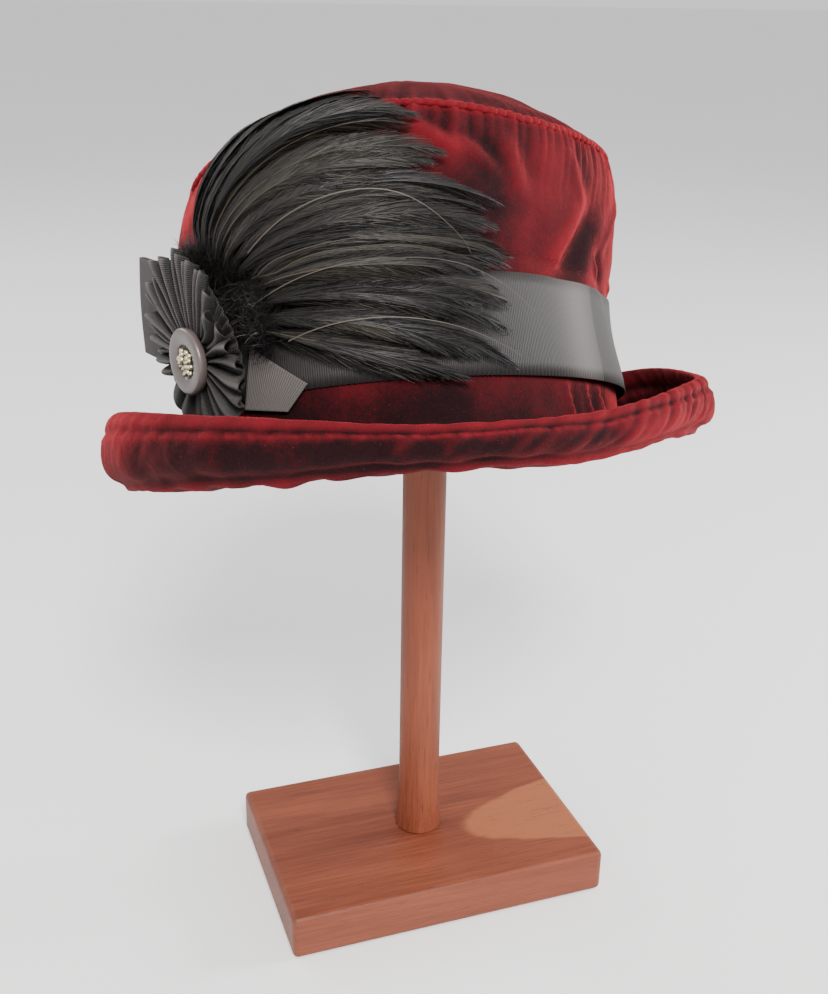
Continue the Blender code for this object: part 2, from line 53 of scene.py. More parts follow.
level = math.cos(CAMERA_DOWN)
forward = Vector((-math.sin(CAMERA_AZIMUTH) * level,
                  math.cos(CAMERA_AZIMUTH) * level, -math.sin(CAMERA_DOWN)))
right = Vector((math.cos(CAMERA_AZIMUTH), math.sin(CAMERA_AZIMUTH), 0))
up = right.cross(forward)
lean = Matrix.Rotation(-CAMERA_LEAN, 3, forward)
turned = Matrix((lean @ right, lean @ up, -forward)).transposed().to_4x4()
camera = bpy.data.objects.new("camera", bpy.data.cameras.new("camera"))
bpy.context.collection.objects.link(camera)
camera.matrix_world = Matrix.Translation(CAMERA_SPOT) @ turned
camera.data.sensor_width = 36
camera.data.lens = CAMERA_LENS
camera.data.clip_start = 0.01
bpy.context.scene.camera = camera

# A pale floor under the block, which takes no part in the object.
FLOOR_REACH = 60.0


def add_piece(name, body, material):
    """Put a bmesh into the scene as a piece with one material."""
    mesh = bpy.data.meshes.new(name)
    body.to_mesh(mesh)
    body.free()
    mesh.shade_smooth()
    piece = bpy.data.objects.new(name, mesh)
    bpy.context.collection.objects.link(piece)
    mesh.materials.append(material)
    return piece


def add_node(tree, kind, links=None, **settings):
    """Add a shader node; links gives its inputs values or other nodes' outputs."""
    node = tree.nodes.new("ShaderNode" + kind)
    for name, value in settings.items():
        setattr(node, name, value)
    for socket, value in (links or {}).items():
        if isinstance(value, bpy.types.NodeSocket):
            tree.links.new(value, node.inputs[socket])
        else:
            node.inputs[socket].default_value = value
    return node


def noise_value(place, scale, detail=3.0, rough=0.5, twist=0.0):
    return add_node(place.id_data, "TexNoise", {"Vector": place, "Scale": scale, "Detail": detail,
                    "Roughness": rough, "Distortion": twist}).outputs["Fac"]


def calc(operation, *values):
    """Maths on node outputs and numbers, in the tree of the first output."""
    tree = next(value.id_data for value in values if isinstance(value, bpy.types.NodeSocket))
    return add_node(tree, "Math", dict(enumerate(values)), operation=operation).outputs[0]


def times(first, second):
    return calc("MULTIPLY", first, second)


def graded(value, low, high, start=0.0, end=1.0):
    """Smooth step of a value from start at low to end at high."""
    return add_node(value.id_data, "MapRange", {0: value, 1: low, 2: high, 3: start, 4: end},
                    interpolation_type="SMOOTHSTEP").outputs[0]


def mixed(share, first, second):
    values = {0: share, 6: first, 7: second}
    return add_node(share.id_data, "Mix", values, data_type="RGBA").outputs[2]


def scaled(place, scale):
    return add_node(place.id_data, "Mapping", {"Vector": place, "Scale": scale}).outputs[0]


def parted(place):
    return add_node(place.id_data, "SeparateXYZ", {0: place}).outputs


def add_group(name):
    """Begin a node group that turns a place into a colour, a roughness and a height."""
    tree = bpy.data.node_groups.new(name, "ShaderNodeTree")
    for socket, way, kind in (("Place", "INPUT", "Vector"), ("Accent", "INPUT", "Float"),
                              ("Colour", "OUTPUT", "Color"), ("Roughness", "OUTPUT", "Float"),
                              ("Height", "OUTPUT", "Float")):
        tree.interface.new_socket(socket, in_out=way, socket_type="NodeSocket" + kind)
    source = tree.nodes.new("NodeGroupInput").outputs
    return source["Place"], source["Accent"]


def end_group(colour, roughness, height):
    tree = colour.id_data
    result = tree.nodes.new("NodeGroupOutput")
    for socket, value in (("Colour", colour), ("Roughness", roughness), ("Height", height)):
        tree.links.new(value, result.inputs[socket])
    return tree


def add_material(name, group, source="Object", scale=(1, 1, 1), turn=(0, 0, 0), accent=0.0, *,
                 bump, **look):
    """Material whose colour, roughness and bump come from one node group."""
    material = bpy.data.materials.new(name)
    material.use_nodes = True
    tree = material.node_tree
    shader = tree.nodes["Principled BSDF"]
    place = add_node(tree, "TexCoord").outputs[source]
    place = add_node(tree, "Mapping", {"Vector": place, "Scale": scale,
                                       "Rotation": turn}).outputs[0]
    if callable(accent):
        accent = accent(place)
    finish = add_node(tree, "Group", {"Place": place, "Accent": accent}, node_tree=group).outputs
    relief = add_node(tree, "Bump", {"Height": finish["Height"], "Distance": bump}).outputs[0]
    for socket, value in (("Base Color", finish["Colour"]), ("Normal", relief),
                          ("Roughness", finish["Roughness"])):
        tree.links.new(value, shader.inputs[socket])
    for socket, value in look.items():
        name = socket.replace("_", " ").title().replace("Ior", "IOR")
        shader.inputs[name].default_value = value
    return material


def floor_finish():
    place, _ = add_group("plain_floor")
    cloud = noise_value(place, 1.5)
    colour = mixed(cloud, (0.86, 0.86, 0.87, 1), (0.90, 0.90, 0.90, 1))
    return end_group(colour, graded(cloud, 0, 1, 0.7, 0.8), cloud)


def add_light(name, spot, size, power, colour=(1, 1, 1)):
    """Square soft light that faces the hat's middle height."""
    lamp = bpy.data.lights.new(name, "AREA")
    lamp.shape, lamp.size, lamp.energy, lamp.color = "SQUARE", size, power, colour
    light = bpy.data.objects.new(name, lamp)
    bpy.context.collection.objects.link(light)
    light.location = spot
    towards = Vector((0, 0, 0.22)) - Vector(spot)
    light.rotation_euler = towards.to_track_quat("-Z", "Y").to_euler()


body = bmesh.new()
bmesh.ops.create_grid(body, x_segments=1, y_segments=1, size=FLOOR_REACH)
floor = add_piece("floor", body, add_material("floor", floor_finish(), bump=0.0))
world = bpy.data.worlds.new("studio")
bpy.context.scene.world = world
world.use_nodes = True
sky = world.node_tree.nodes["Background"].inputs
sky["Color"].default_value = (1.0, 1.0, 1.0, 1)
sky["Strength"].default_value = 0.95
add_light("window", (-0.25, -1.4, 1.45), 0.5, 66, (1.0, 0.97, 0.93))
add_light("side_fill", (1.6, -0.2, 0.7), 0.5, 28)
add_light("back_rim", (-0.9, 1.4, 1.2), 0.7, 12)

# The stand's block, post and head are softwood, sanded and stained reddish brown. The
# block keeps its plain shape, with a paler pointed patch of grain at the right end.
BLOCK_TOP = 21.4 * MM
PATCH_POINT = (0.017, -0.012)


def stained_wood():
    place, accent = add_group("stained_wood")
    streaks = scaled(place, (5, 60, 60))
    fibres = scaled(place, (30, 900, 900))
    broad = noise_value(streaks, 1.0, 4.0, 0.6, 0.4)
    fine = noise_value(fibres, 1.0, 3.0, 0.6)
    pores = noise_value(fibres, 2.2, 2.0, 0.7)
    blotch = noise_value(place, 22.0, 3.0, 0.6)
    tone = calc("ADD", times(broad, 0.6), times(fine, 0.4))
    colour = mixed(graded(tone, 0.30, 0.70), (0.100, 0.022, 0.010, 1), (0.200, 0.052, 0.024, 1))
    colour = mixed(graded(blotch, 0.35, 0.75, 0.0, 0.35), colour, (0.135, 0.031, 0.014, 1))
    colour = mixed(times(accent, 0.75), colour, (0.300, 0.098, 0.040, 1))
    dark = graded(pores, 0.62, 0.74, 0.0, 0.55)
    colour = mixed(dark, colour, (0.060, 0.016, 0.010, 1))
    rough = graded(fine, 0.2, 0.8, 0.42, 0.62)
    return end_group(colour, rough, calc("SUBTRACT", fine, dark))


def pale_patch(place):
    """Pointed patch that widens from its point towards the block's right end."""
    parts = parted(place)
    wave = times(noise_value(place, 60.0, 3.0), 0.014)
    run = calc("SUBTRACT", calc("ADD", parts[0], wave), PATCH_POINT[0])
    side = calc("SUBTRACT", parts[1], PATCH_POINT[1])
    wide = times(times(side, side), 90.0)
    inside = graded(calc("SUBTRACT", run, wide), 0.004, 0.012)
    upper = graded(parts[2], BLOCK_TOP - 0.004, BLOCK_TOP - 0.001)
    return times(inside, upper)


def spun(profile, steps):
    """Body spun about Z from a profile of radius and height."""
    body = bmesh.new()
    spots = [body.verts.new((radius, 0, height)) for radius, height in profile]
    edges = [body.edges.new(pair) for pair in zip(spots, spots[1:])]
    bmesh.ops.spin(body, geom=spots + edges, cent=(0, 0, 0), axis=(0, 0, 1), dvec=(0, 0, 0),
                   angle=2 * math.pi, steps=steps, use_merge=True)
    bmesh.ops.remove_doubles(body, verts=body.verts, dist=0.00001)
    bmesh.ops.recalc_face_normals(body, faces=body.faces)
    return body


def declare(piece, slot, *nodes):
    """Attach a piece to the root body and hide the nodes that it stands for.
    The slot is not used.
    """
    if nodes:
        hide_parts(*nodes)
    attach(piece, "root")


wood = stained_wood()
for node, turn, accent in (("stand_base", (0, 0, 0), pale_patch),
                           ("stand_head", (0, math.radians(90), 0), 0.0)):
    material = add_material(node + "_stain", wood, turn=turn, accent=accent,
                            bump=0.00025, specular_ior_level=0.3)
    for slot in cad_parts[node].material_slots:
        slot.material = material

# The post is turned, with a slightly flared foot and a soft lower edge.
radius, flare, foot = 9.5 * MM, 1.4 * MM, 30 * MM
low, high = BLOCK_TOP + 0.3 * MM, 328.7 * MM
profile = [(0.0, low), (radius + flare - 0.4 * MM, low), (radius + flare, low + 0.4 * MM)]
profile += [(radius + flare * (1 - share / 8) ** 2, low + foot * share / 8)
            for share in range(1, 9)]
profile += [(radius, low + (high - low) * share) for share in (0.3, 0.6, 1.0)]
profile.append((0.0, high))
material = add_material("post_stain", wood, turn=(0, math.radians(90), 0),
                        bump=0.00025, specular_ior_level=0.25)
post = add_piece("turned_post", spun(profile, 72), material)
post.data.set_sharp_from_angle(angle=math.radians(40))
declare(post, "wood", "stand_post")

# The crown's side is one length of velvet over a stiffened base, stitched to the tip.
# It bulges above the ribbon, and the seam above and a few soft folds pucker the pile.
HAT_SPOT = Vector((-3.3, 0.9, 220.252)) * MM
HAT_LEAN, HAT_LEAN_TOWARDS, HAT_SPIN = 25.9, 84.6, -48.3
HEAD_LENGTH, HEAD_WIDTH = 199 * MM, 165 * MM
CROWN_HEIGHT, CROWN_WALL, CROWN_SWAY_TOWARDS = 142 * MM, 2.0 * MM, 30.0
# Columns: height in crown heights, reach in head ovals, sway in half head widths
CROWN_ROWS = (
    (-0.015, 1.000, 0.000), (0.150, 1.000, 0.000), (0.345, 1.000, 0.000),
    (0.400, 1.022, 0.000), (0.480, 1.050, 0.006), (0.563, 1.056, 0.023),
    (0.648, 1.047, 0.054), (0.718, 1.012, 0.079), (0.765, 0.950, 0.090),
    (0.813, 0.845, 0.093), (0.880, 0.703, 0.093), (0.930, 0.567, 0.091),
    (0.972, 0.392, 0.087), (0.994, 0.192, 0.083), (1.000, 0.000, 0.081),
)
# Columns: azimuth and height of the seam in crown heights
SEAM_ROWS = (
    (0, 0.738), (30, 0.755), (60, 0.765), (90, 0.760), (120, 0.750), (150, 0.740),
    (180, 0.725), (210, 0.715), (240, 0.712), (270, 0.758), (300, 0.772), (330, 0.738),
)
# Columns: azimuth, height, width in degrees, height of the fold, slant, depth in walls
FOLD_ROWS = (
    (352, 0.44, 7, 0.13, 60, 1.3), (12, 0.38, 5, 0.06, -40, 0.8),
    (300, 0.62, 9, 0.10, 30, 0.6), (205, 0.52, 8, 0.12, -30, 0.7),
    (120, 0.56, 10, 0.12, 25, 0.8),
)
# Brim's section. Columns: azimuth, spread in brim widths, drop in brim drops, turned-up
# edge in turn-ups
BRIM_WIDTH, BRIM_DROP, BRIM_TURN_UP, BRIM_THICKNESS = 39 * MM, 25 * MM, 34 * MM, 3.2 * MM
BRIM_ROWS = (
    (0, 1.00, 0.64, 0.56), (30, 1.00, 0.42, 0.75), (60, 0.98, 0.28, 1.05),
    (90, 0.95, 0.20, 1.05), (120, 0.94, 0.20, 0.91), (150, 0.94, 0.30, 0.87),
    (180, 0.96, 0.42, 0.81), (210, 1.00, 0.54, 0.79), (240, 1.02, 0.75, 0.90),
    (270, 1.00, 0.94, 0.69), (300, 1.00, 1.00, 0.41), (330, 1.00, 0.98, 0.45),
)
# Patches of painted highlight and painted shade. Columns: azimuth, height in mm, width in
# degrees, tall in mm, slant in degrees for each mm, how much lighter
PAINTED_LIGHT_ROWS = (
    (345, 61, 4, 17, 0.50, 0.45), (334, 72, 10, 22, 0.2, 0.20), (357, 58, 8, 18, 0.45, -0.45),
    (320, 72, 9, 24, 0.0, -0.30),
    (306, 94, 12, 8, 0.0, 0.35), (335, 88, 10, 14, 0.2, 0.30), (14, 92, 7, 16, 0.0, 0.40),
    (243, 78, 10, 26, 0.0, 0.55), (28, 62, 8, 18, 0.0, 0.30), (40, 88, 12, 20, 0.0, -0.12),
    (75, 66, 14, 22, 0.3, 0.35), (110, 84, 16, 20, -0.2, -0.10), (150, 66, 14, 24, 0.2, 0.25),
    (195, 80, 16, 24, 0.0, -0.10),
)
# Narrow creases in the pile. Columns: azimuth and height in mm at both ends, width in
# mm, rise in mm of the ridge over the hollow beside it
CREASE_ROWS = (
    (354, 82, 339, 46, 11.0, 1.7), (345, 98, 352, 78, 6.0, 0.5), (5, 60, 14, 49, 4.0, 1.0),
    (28, 58, 40, 49, 4.0, 0.9), (322, 98, 330, 74, 7.0, 0.7), (309, 96, 322, 82, 5.0, 0.9),
    (298, 103, 312, 88, 5.0, 0.9), (20, 88, 10, 66, 6.0, 0.7),
    (60, 70, 48, 54, 6.0, 0.9), (100, 90, 110, 62, 7.0, 0.9), (150, 74, 140, 54, 5.0, 0.9),
    (341, 11, 346.5, -3, 3.6, 1.0), (350, 11, 357, -3, 3.6, 1.0), (357, 11, 5, 0, 3.6, 1.2),
    (190, 92, 198, 66, 7.0, 0.9), (225, 70, 232, 54, 5.0, 0.8), (75, 96, 84, 80, 5.0, 0.8),
)


def row_value(rows, column, place, closed):
    """Smooth value of one column of a table at places counted in rows."""
    values = np.array([row[column] for row in rows], dtype=float)
    last = len(values) - 1
    low = np.floor(place).astype(int)
    if not closed:
        low = np.clip(low, 0, last - 1)
    part = place - low
    picks = [low + step for step in (-1, 0, 1, 2)]
    picks = [pick % len(values) if closed else np.clip(pick, 0, last) for pick in picks]
    a, b, c, d = (values[pick] for pick in picks)
    bend = 2 * a - 5 * b + 4 * c - d
    return b + 0.5 * part * (c - a + part * (bend + part * (3 * (b - c) + d - a)))


def around(rows, column, azimuth):
    return row_value(rows, column, azimuth * len(rows) / 360, True)


def ease(share):
    share = np.clip(share, 0.0, 1.0)
    return share * share * (3 - 2 * share)


def bump_at(distance, width):
    return np.exp(-(distance / width) ** 2)


def sine(degrees):
    return np.sin(np.radians(degrees))


def ring(reach, azimuth, height):
    """Points at a reach from the axis, an azimuth and a height."""
    turn = np.radians(azimuth)
    return np.stack((reach * np.cos(turn), reach * np.sin(turn), height), axis=1)


def off_by(azimuth, middle):
    """Signed turn from one azimuth to another, in degrees."""
    return (azimuth - middle + 180) % 360 - 180


def head_oval(azimuth):
    turn = np.radians(azimuth)
    wide, long = HEAD_WIDTH / 2, HEAD_LENGTH / 2
    return wide * long / np.hypot(long * np.cos(turn), wide * np.sin(turn))


def crown_point(azimuth, station):
    """Plain crown surface; station counts the rows of its profile."""
    height = row_value(CROWN_ROWS, 0, station, False)
    depth = np.zeros_like(height)
    for middle, level, width, tall, slant, walls in FOLD_ROWS:
        rise = height - level
        turn = off_by(azimuth, middle + slant * rise)
        depth += walls * CROWN_WALL * bump_at(turn, width) * bump_at(rise, tall)
    reach = head_oval(azimuth) * np.maximum(row_value(CROWN_ROWS, 1, station, False), 0)
    reach = np.maximum(reach - depth, 0)
    sway = HEAD_WIDTH / 2 * row_value(CROWN_ROWS, 2, station, False)
    lean = math.radians(CROWN_SWAY_TOWARDS)
    points = ring(reach, azimuth, height * CROWN_HEIGHT)
    points[:, 0] += sway * math.cos(lean)
    points[:, 1] += sway * math.sin(lean)
    return points


def level_normal(vectors):
    return vectors / np.maximum(np.linalg.norm(vectors, axis=1, keepdims=True), 1e-12)


def crown_normal(azimuth, station):
    station = np.minimum(station, len(CROWN_ROWS) - 1.2)
    across = crown_point(azimuth + 1, station) - crown_point(azimuth - 1, station)
    upwards = crown_point(azimuth, station + 0.05) - crown_point(azimuth, station - 0.05)
    return level_normal(np.cross(across, upwards))


STATIONS = np.linspace(0, len(CROWN_ROWS) - 1, 1401)
STATION_HEIGHTS = row_value(CROWN_ROWS, 0, STATIONS, False)


def station_at(height):
    """Profile station of a height given in crown heights."""
    return np.interp(height, STATION_HEIGHTS, STATIONS)


def over_crown(azimuth, height, outset):
    """Point over the crown at a height in metres, lifted off its surface."""
    station = station_at(height / CROWN_HEIGHT)
    return (crown_point(azimuth, station)
            + np.reshape(outset, (-1, 1)) * crown_normal(azimuth, station))


def seam_station(azimuth):
    return station_at(around(SEAM_ROWS, 1, azimuth))


def seat_height(azimuth):
    """Height at which the brim joins the crown: lowest where the brim drops most."""
    return -0.36 * BRIM_DROP * around(BRIM_ROWS, 2, azimuth)


def turned_by(degrees, axis):
    return Matrix.Rotation(math.radians(degrees), 4, axis)


def hat_matrix():
    lean, towards = turned_by(HAT_LEAN, "Y"), turned_by(HAT_LEAN_TOWARDS, "Z")
    spin = turned_by(HAT_SPIN, "Z")
    return Matrix.Translation(HAT_SPOT) @ towards @ lean @ towards.inverted() @ spin


def placed(points, matrix):
    turn = np.array(matrix.to_3x3())
    return points @ turn.T + np.array(matrix.translation)


def mapped_grid(steps_across, steps_along, place, matrix=None):
    """Grid of faces whose corners a function of two arrays of shares puts in place. The
    function may give each corner a tone of painted highlights and shade too, which the
    materials read."""
    body = bmesh.new()
    body.loops.layers.uv.new("flat")
    tone_layer = body.verts.layers.float.new("tone")
    bmesh.ops.create_grid(body, x_segments=steps_across, y_segments=steps_along,
                          size=0.5, calc_uvs=True)
    shares = np.array([vert.co[:2] for vert in body.verts]) + 0.5
    result = place(shares[:, 0], shares[:, 1])
    points, tones = result if isinstance(result, tuple) else (result, 0 * shares[:, 0])
    corners = placed(points, matrix or hat_matrix())
    for vert, corner, tone in zip(body.verts, corners, tones):
        vert.co = corner
        vert[tone_layer] = tone
    bmesh.ops.remove_doubles(body, verts=body.verts, dist=0.00002)
    return body


def cloudy(points, scale, seed):
    """Smooth noise from -1 to 1 at each point; scale is waves in a metre."""
    shift = Vector((seed * 7.31, seed * 3.17, seed * 5.53))
    return np.array([noise.noise(Vector(point) * scale + shift) for point in points])


def velvet_finish():
    """Deep red pile in random crushed patches and flecks, lighter or darker by the accent,
    which carries painted highlights and painted shade.
    """
    place, accent = add_group("velvet")
    patches = noise_value(place, 26.0, 2.0, 0.5, 0.3)
    crush = noise_value(place, 110.0, 4.0, 0.6, 0.3)
    fleck = noise_value(place, 900.0, 2.0, 0.7)
    pile = noise_value(place, 2600.0, 1.0, 0.5)
    nap_and_painted_light = calc("ADD", times(patches, 0.55), times(crush, 0.45))
    nap_and_painted_light = calc("ADD", nap_and_painted_light, times(calc("SUBTRACT", fleck, 0.5), 0.55))
    # The accent adds painted highlights and painted shade.
    nap_and_painted_light = calc("ADD", graded(nap_and_painted_light, 0.34, 0.76, 0.16, 0.56), accent)
    colour = mixed(nap_and_painted_light, (0.008, 0.0005, 0.0014, 1), (0.115, 0.0042, 0.0086, 1))
    # Painted glints: small pale specks in the pile.
    painted_glints = graded(noise_value(place, 2300.0, 0.0), 0.80, 0.86, 0.0, 0.18)
    colour = mixed(painted_glints, colour, (0.30, 0.10, 0.10, 1))
    height = calc("ADD", times(crush, 0.6), times(pile, 0.4))
    return end_group(colour, graded(fleck, 0.2, 0.8, 0.75, 0.95), height)


VELVET = velvet_finish()


def painted_light_tone(place):
    """The tone that a mesh carries, painted highlights above zero and painted shade below."""
    return add_node(place.id_data, "Attribute", attribute_name="tone").outputs["Fac"]


def velvet(name, accent=painted_light_tone, sheen=0.55):
    return add_material(name, VELVET, bump=0.0009, accent=accent, sheen_weight=sheen,
                        sheen_roughness=0.24, sheen_tint=(1.0, 0.07, 0.09, 1),
                        specular_ior_level=0.12)


def seam_pucker(azimuth, distance):
    """Small gathers beside the seam; distance from it is in metres."""
    slow = sine(azimuth * 71) + 0.8 * sine(azimuth * 43 + 70)
    quick = sine(azimuth * 113 + 30) + 0.7 * sine(azimuth * 157)
    tight = np.clip(np.cos(np.radians(azimuth - 358)), 0, 1) ** 4
    strength = 0.6 + 0.4 * sine(azimuth * 5 + 40)
    gather = slow * strength * (1 - 0.5 * tight) + quick * (0.35 + 0.6 * tight)
    return 0.66 * MM * gather * np.exp(-np.abs(distance) / (10 * MM))


def creases(azimuth, height):
    """Ridges with a hollow beside them, along straight lines on the crown."""
    total = np.zeros_like(height)
    for turn, level, end_turn, end_level, width, rise in CREASE_ROWS:
        reach = 96 * MM * math.pi / 180
        along = np.array((off_by(end_turn, turn) * reach, (end_level - level) * MM))
        length = np.linalg.norm(along)
        along = along / length
        x, y = off_by(azimuth, turn) * reach, height - level * MM
        run = (x * along[0] + y * along[1]) / length
        side = (y * along[0] - x * along[1]) / (width * MM)
        fade = ease(run * 2.2 + 0.25) * ease((1 - run) * 2.2 + 0.25)
        total += 1.7 * rise * MM * fade * (bump_at(side, 0.5) - bump_at(side - 1.1, 0.7))
    return total


def crown_relief(azimuth, station, points, seam_gap):
    """How far the pile stands over the plain crown, and its tone of painted highlights and
    painted shade.
    """
    height = row_value(CROWN_ROWS, 0, station, False) * CROWN_HEIGHT
    seam = around(SEAM_ROWS, 1, azimuth) * CROWN_HEIGHT
    crease, pucker = creases(azimuth, height), seam_pucker(azimuth, height - seam)
    drape, ripple = cloudy(points, 38, 1), cloudy(points, 80, 2)
    lift = crease + pucker + 1.2 * MM * drape + 0.7 * MM * ripple
    lift += 0.5 * MM * bump_at((height - seam) / MM, 2.6)
    keep = ease((height - seam_gap) / (6 * MM))
    # Painted highlights on the ridges of creases, gathers and ripples, painted shade in their
    # hollows.
    tone = (0.20 * crease + 0.42 * pucker) / MM * keep + 0.12 * ripple
    # Painted highlight: a lighter strip along the seam.
    tone += 0.75 * bump_at((height - seam) / MM, 2.0)
    # Painted highlights and painted shade in patches, from the table above.
    for turn, level, width, tall, slant, amount in PAINTED_LIGHT_ROWS:
        rise = height / MM - level
        tone += amount * bump_at(off_by(azimuth, turn + slant * rise), width) * bump_at(rise, tall)
    # Painted shade: the crown is darker low down, under the band and behind the brim.
    tone -= 0.25 * ease((12 * MM - height) / (8 * MM))
    # Below the band the creases get painted highlights on their ridges and painted shade in their
    # hollows too.
    below_band = ease((10 * MM - height) / (4 * MM))
    return lift * keep + 0.8 * crease * below_band, tone + 0.12 * crease / MM * below_band


def add_thickness(piece, thickness, offset):
    wall = piece.modifiers.new("wall", "SOLIDIFY")
    wall.thickness, wall.offset = thickness, offset


def add_crown_side():
    def place(across, along):
        azimuth = 360 * across
        station = seam_station(azimuth) * along
        points = crown_point(azimuth, station)
        lift, tone = crown_relief(azimuth, station, points, 50 * MM)
        points = points + lift[:, None] * crown_normal(azimuth, station)
        points[:, 2] += seat_height(azimuth) * ease(1 - along * 10)
        return points, tone

    side = add_piece("crown_side_velvet", mapped_grid(400, 78, place),
                     velvet("crown_side_velvet"))
    add_thickness(side, CROWN_WALL, -1)
    declare(side, "velvet", "crown_side")


add_crown_side()

# The tip is a round of velvet over the same base, slack enough to puff up and gather at
# the seam.
TIP_PUFF = 1.3 * MM


def add_crown_tip():
    top = len(CROWN_ROWS) - 1

    def place(across, along):
        azimuth = 360 * across
        start = seam_station(azimuth) + 0.03
        station = start + (top - start) * along
        points = crown_point(azimuth, station)
        lift, tone = crown_relief(azimuth, station, points, 0)
        lift = lift * (1 - along ** 6) - 0.4 * MM * (1 - ease(along * 12))
        lift += TIP_PUFF * bump_at(along - 0.24, 0.20)
        # Painted shade: the tip is made darker all over.
        return points + lift[:, None] * crown_normal(azimuth, station), tone - 0.20

    tip = add_piece("crown_tip_velvet", mapped_grid(300, 56, place),
                    velvet("crown_tip_velvet", sheen=0.30))
    add_thickness(tip, CROWN_WALL * 0.95, -1)
    declare(tip, "velvet", "crown_tip")


add_crown_tip()

# The seam is a narrow welt of the same velvet, pinched by its stitches every 4 mm.
STITCH_PITCH = 4.0 * MM
radius = 1.45 * MM
stitches = round(2 * math.pi * 88 * MM / STITCH_PITCH)


def welt_corners(across, along):
    azimuth = 360 * across
    station = seam_station(azimuth)
    outward = crown_normal(azimuth, station)
    path = level_normal(crown_point(azimuth + 1, station) - crown_point(azimuth - 1, station))
    up = np.cross(outward, path)
    pinch = 1 - 0.28 * np.abs(np.cos(math.pi * stitches * across)) ** 6
    wander = 0.25 * MM * np.sin(2 * math.pi * 37 * across)
    middle = crown_point(azimuth, station) + 0.9 * MM * outward + wander[:, None] * up
    turn = 2 * math.pi * along
    size = (radius * pinch)[:, None]
    return middle + size * np.cos(turn)[:, None] * outward + 1.25 * size * np.sin(turn)[:, None] * up


body = mapped_grid(1080, 12, welt_corners)
bmesh.ops.recalc_face_normals(body, faces=body.faces)
# Painted highlight: the welt's velvet is lighter all over.
welt = add_piece("crown_welt", body, velvet("welt_velvet", 0.75, 0.8))
declare(welt, "velvet", "crown_piping")

# The brim is two layers of velvet over padding. It slopes down from the crown and is
# rolled up all round, with a stitched band along its rim and soft pulls in its face. Its
# cloth is given in mm from the crown to the rim.
RIM_BAND, BRIM_CLOTH = 4.2 * MM, 52


def brim_point(azimuth, along):
    """Middle of the brim's thickness, from the crown outwards and up to the rim."""
    seat, fold_at, end_turn = -1.0 * MM, 0.5, math.radians(48)
    spread = BRIM_WIDTH * around(BRIM_ROWS, 1, azimuth) - BRIM_THICKNESS / 2
    drop = BRIM_DROP * around(BRIM_ROWS, 2, azimuth) - BRIM_THICKNESS / 2
    turn_up = BRIM_TURN_UP * around(BRIM_ROWS, 3, azimuth) - BRIM_THICKNESS / 2
    roll_out, roll_up = 0.40 * spread, 0.48 * turn_up
    share = np.clip(along / fold_at, 0, 1)
    slope_out = seat + (spread - roll_out - seat) * share
    join = seat_height(azimuth)
    slope_height = join - (drop + join) * ease(share)
    share = np.clip((along - fold_at) / (1 - fold_at), 0, 1)
    turn = -math.pi / 2 + (math.pi / 2 + end_turn) * share
    roll_reach = spread - roll_out + roll_out * np.cos(turn)
    rise = roll_up - drop + roll_up * np.sin(np.minimum(turn, 0))
    rise += (turn_up - roll_up) * np.sin(np.maximum(turn, 0)) / math.sin(end_turn)
    rise += 0.7 * MM * sine(14 * azimuth) * np.cos(turn) * (1 - share)
    rolled = along > fold_at
    out = head_oval(azimuth) + 0.3 * MM + np.where(rolled, roll_reach, slope_out)
    return ring(out, azimuth, np.where(rolled, rise, slope_height))


def brim_normal(azimuth, along):
    """Direction square to the brim, upwards and inwards."""
    low, high = np.maximum(along - 0.01, 0), np.minimum(along + 0.01, 1)
    across = brim_point(azimuth + 0.5, along) - brim_point(azimuth - 0.5, along)
    outward = brim_point(azimuth, high) - brim_point(azimuth, low)
    return level_normal(np.cross(outward, across))


def brim_relief(azimuth, along, under, points):
    """How the padding swells in pulls, stitches and pleats, and its tone of painted
    highlights and painted shade.
    """
    from_rim = (1 - along) * BRIM_CLOTH * MM
    band = bump_at((from_rim - 0.45 * RIM_BAND) / MM, 1.9)
    groove = bump_at((from_rim - RIM_BAND) / MM, 0.8)
    terry = 0.7 + 0.9 * cloudy(points, 420, 5)
    stitches = bump_at((from_rim - RIM_BAND - 1.3 * MM) / MM, 0.9) * terry
    swell = MM * (0.6 * band - 0.8 * groove + 0.45 * stitches)
    right = bump_at(off_by(azimuth, 8), 36)
    slanted = azimuth + 0.55 * from_rim / MM
    pleats = sine(slanted * 97) + sine(slanted * 61 + 50)
    shown = (0.08 + 0.30 * right) * ease(2.2 - from_rim / (9 * MM))
    swell += MM * pleats * shown
    pulls = cloudy(np.stack((points[:, 0] * 85, points[:, 1] * 85, points[:, 2] * 16), 1), 1, 3)
    swell += (1.5 * under + 0.6 * (1 - under)) * MM * pulls * ease(from_rim / (9 * MM))
    swell += 0.4 * MM * cloudy(points, 110, 4)
    fold = bump_at((along - 0.60) / 0.020, 1.0) - 0.8 * bump_at((along - 0.655) / 0.035, 1.0)
    swell += under * 1.3 * MM * fold
    frill = np.abs(sine(azimuth * 19)) * bump_at(off_by(azimuth, 283), 17)
    swell += under * 1.7 * MM * frill * bump_at((along - 0.57) / 0.030, 1.0)
    # Painted highlights on the rim band, the stitches and the pleats, painted shade in the groove.
    tone = 0.60 * band - 0.40 * groove + 0.75 * stitches + 0.7 * pleats * shown
    # Painted light: the outer face is lighter at the front and near azimuth 228, darker elsewhere,
    # and lighter and darker along its pulls; the inner face is in painted shade.
    painted_front_light = 1.00 * bump_at(off_by(azimuth, 356), 36) + 0.2 * bump_at(off_by(azimuth, 228), 20)
    face = (0.6 * pulls - 0.46 + painted_front_light) * under - 0.70 * (1 - under)
    # Painted highlight along the lower fold.
    tone += face * ease((from_rim - RIM_BAND) / (6 * MM)) + 1.2 * under * np.maximum(fold, 0)
    return swell, tone


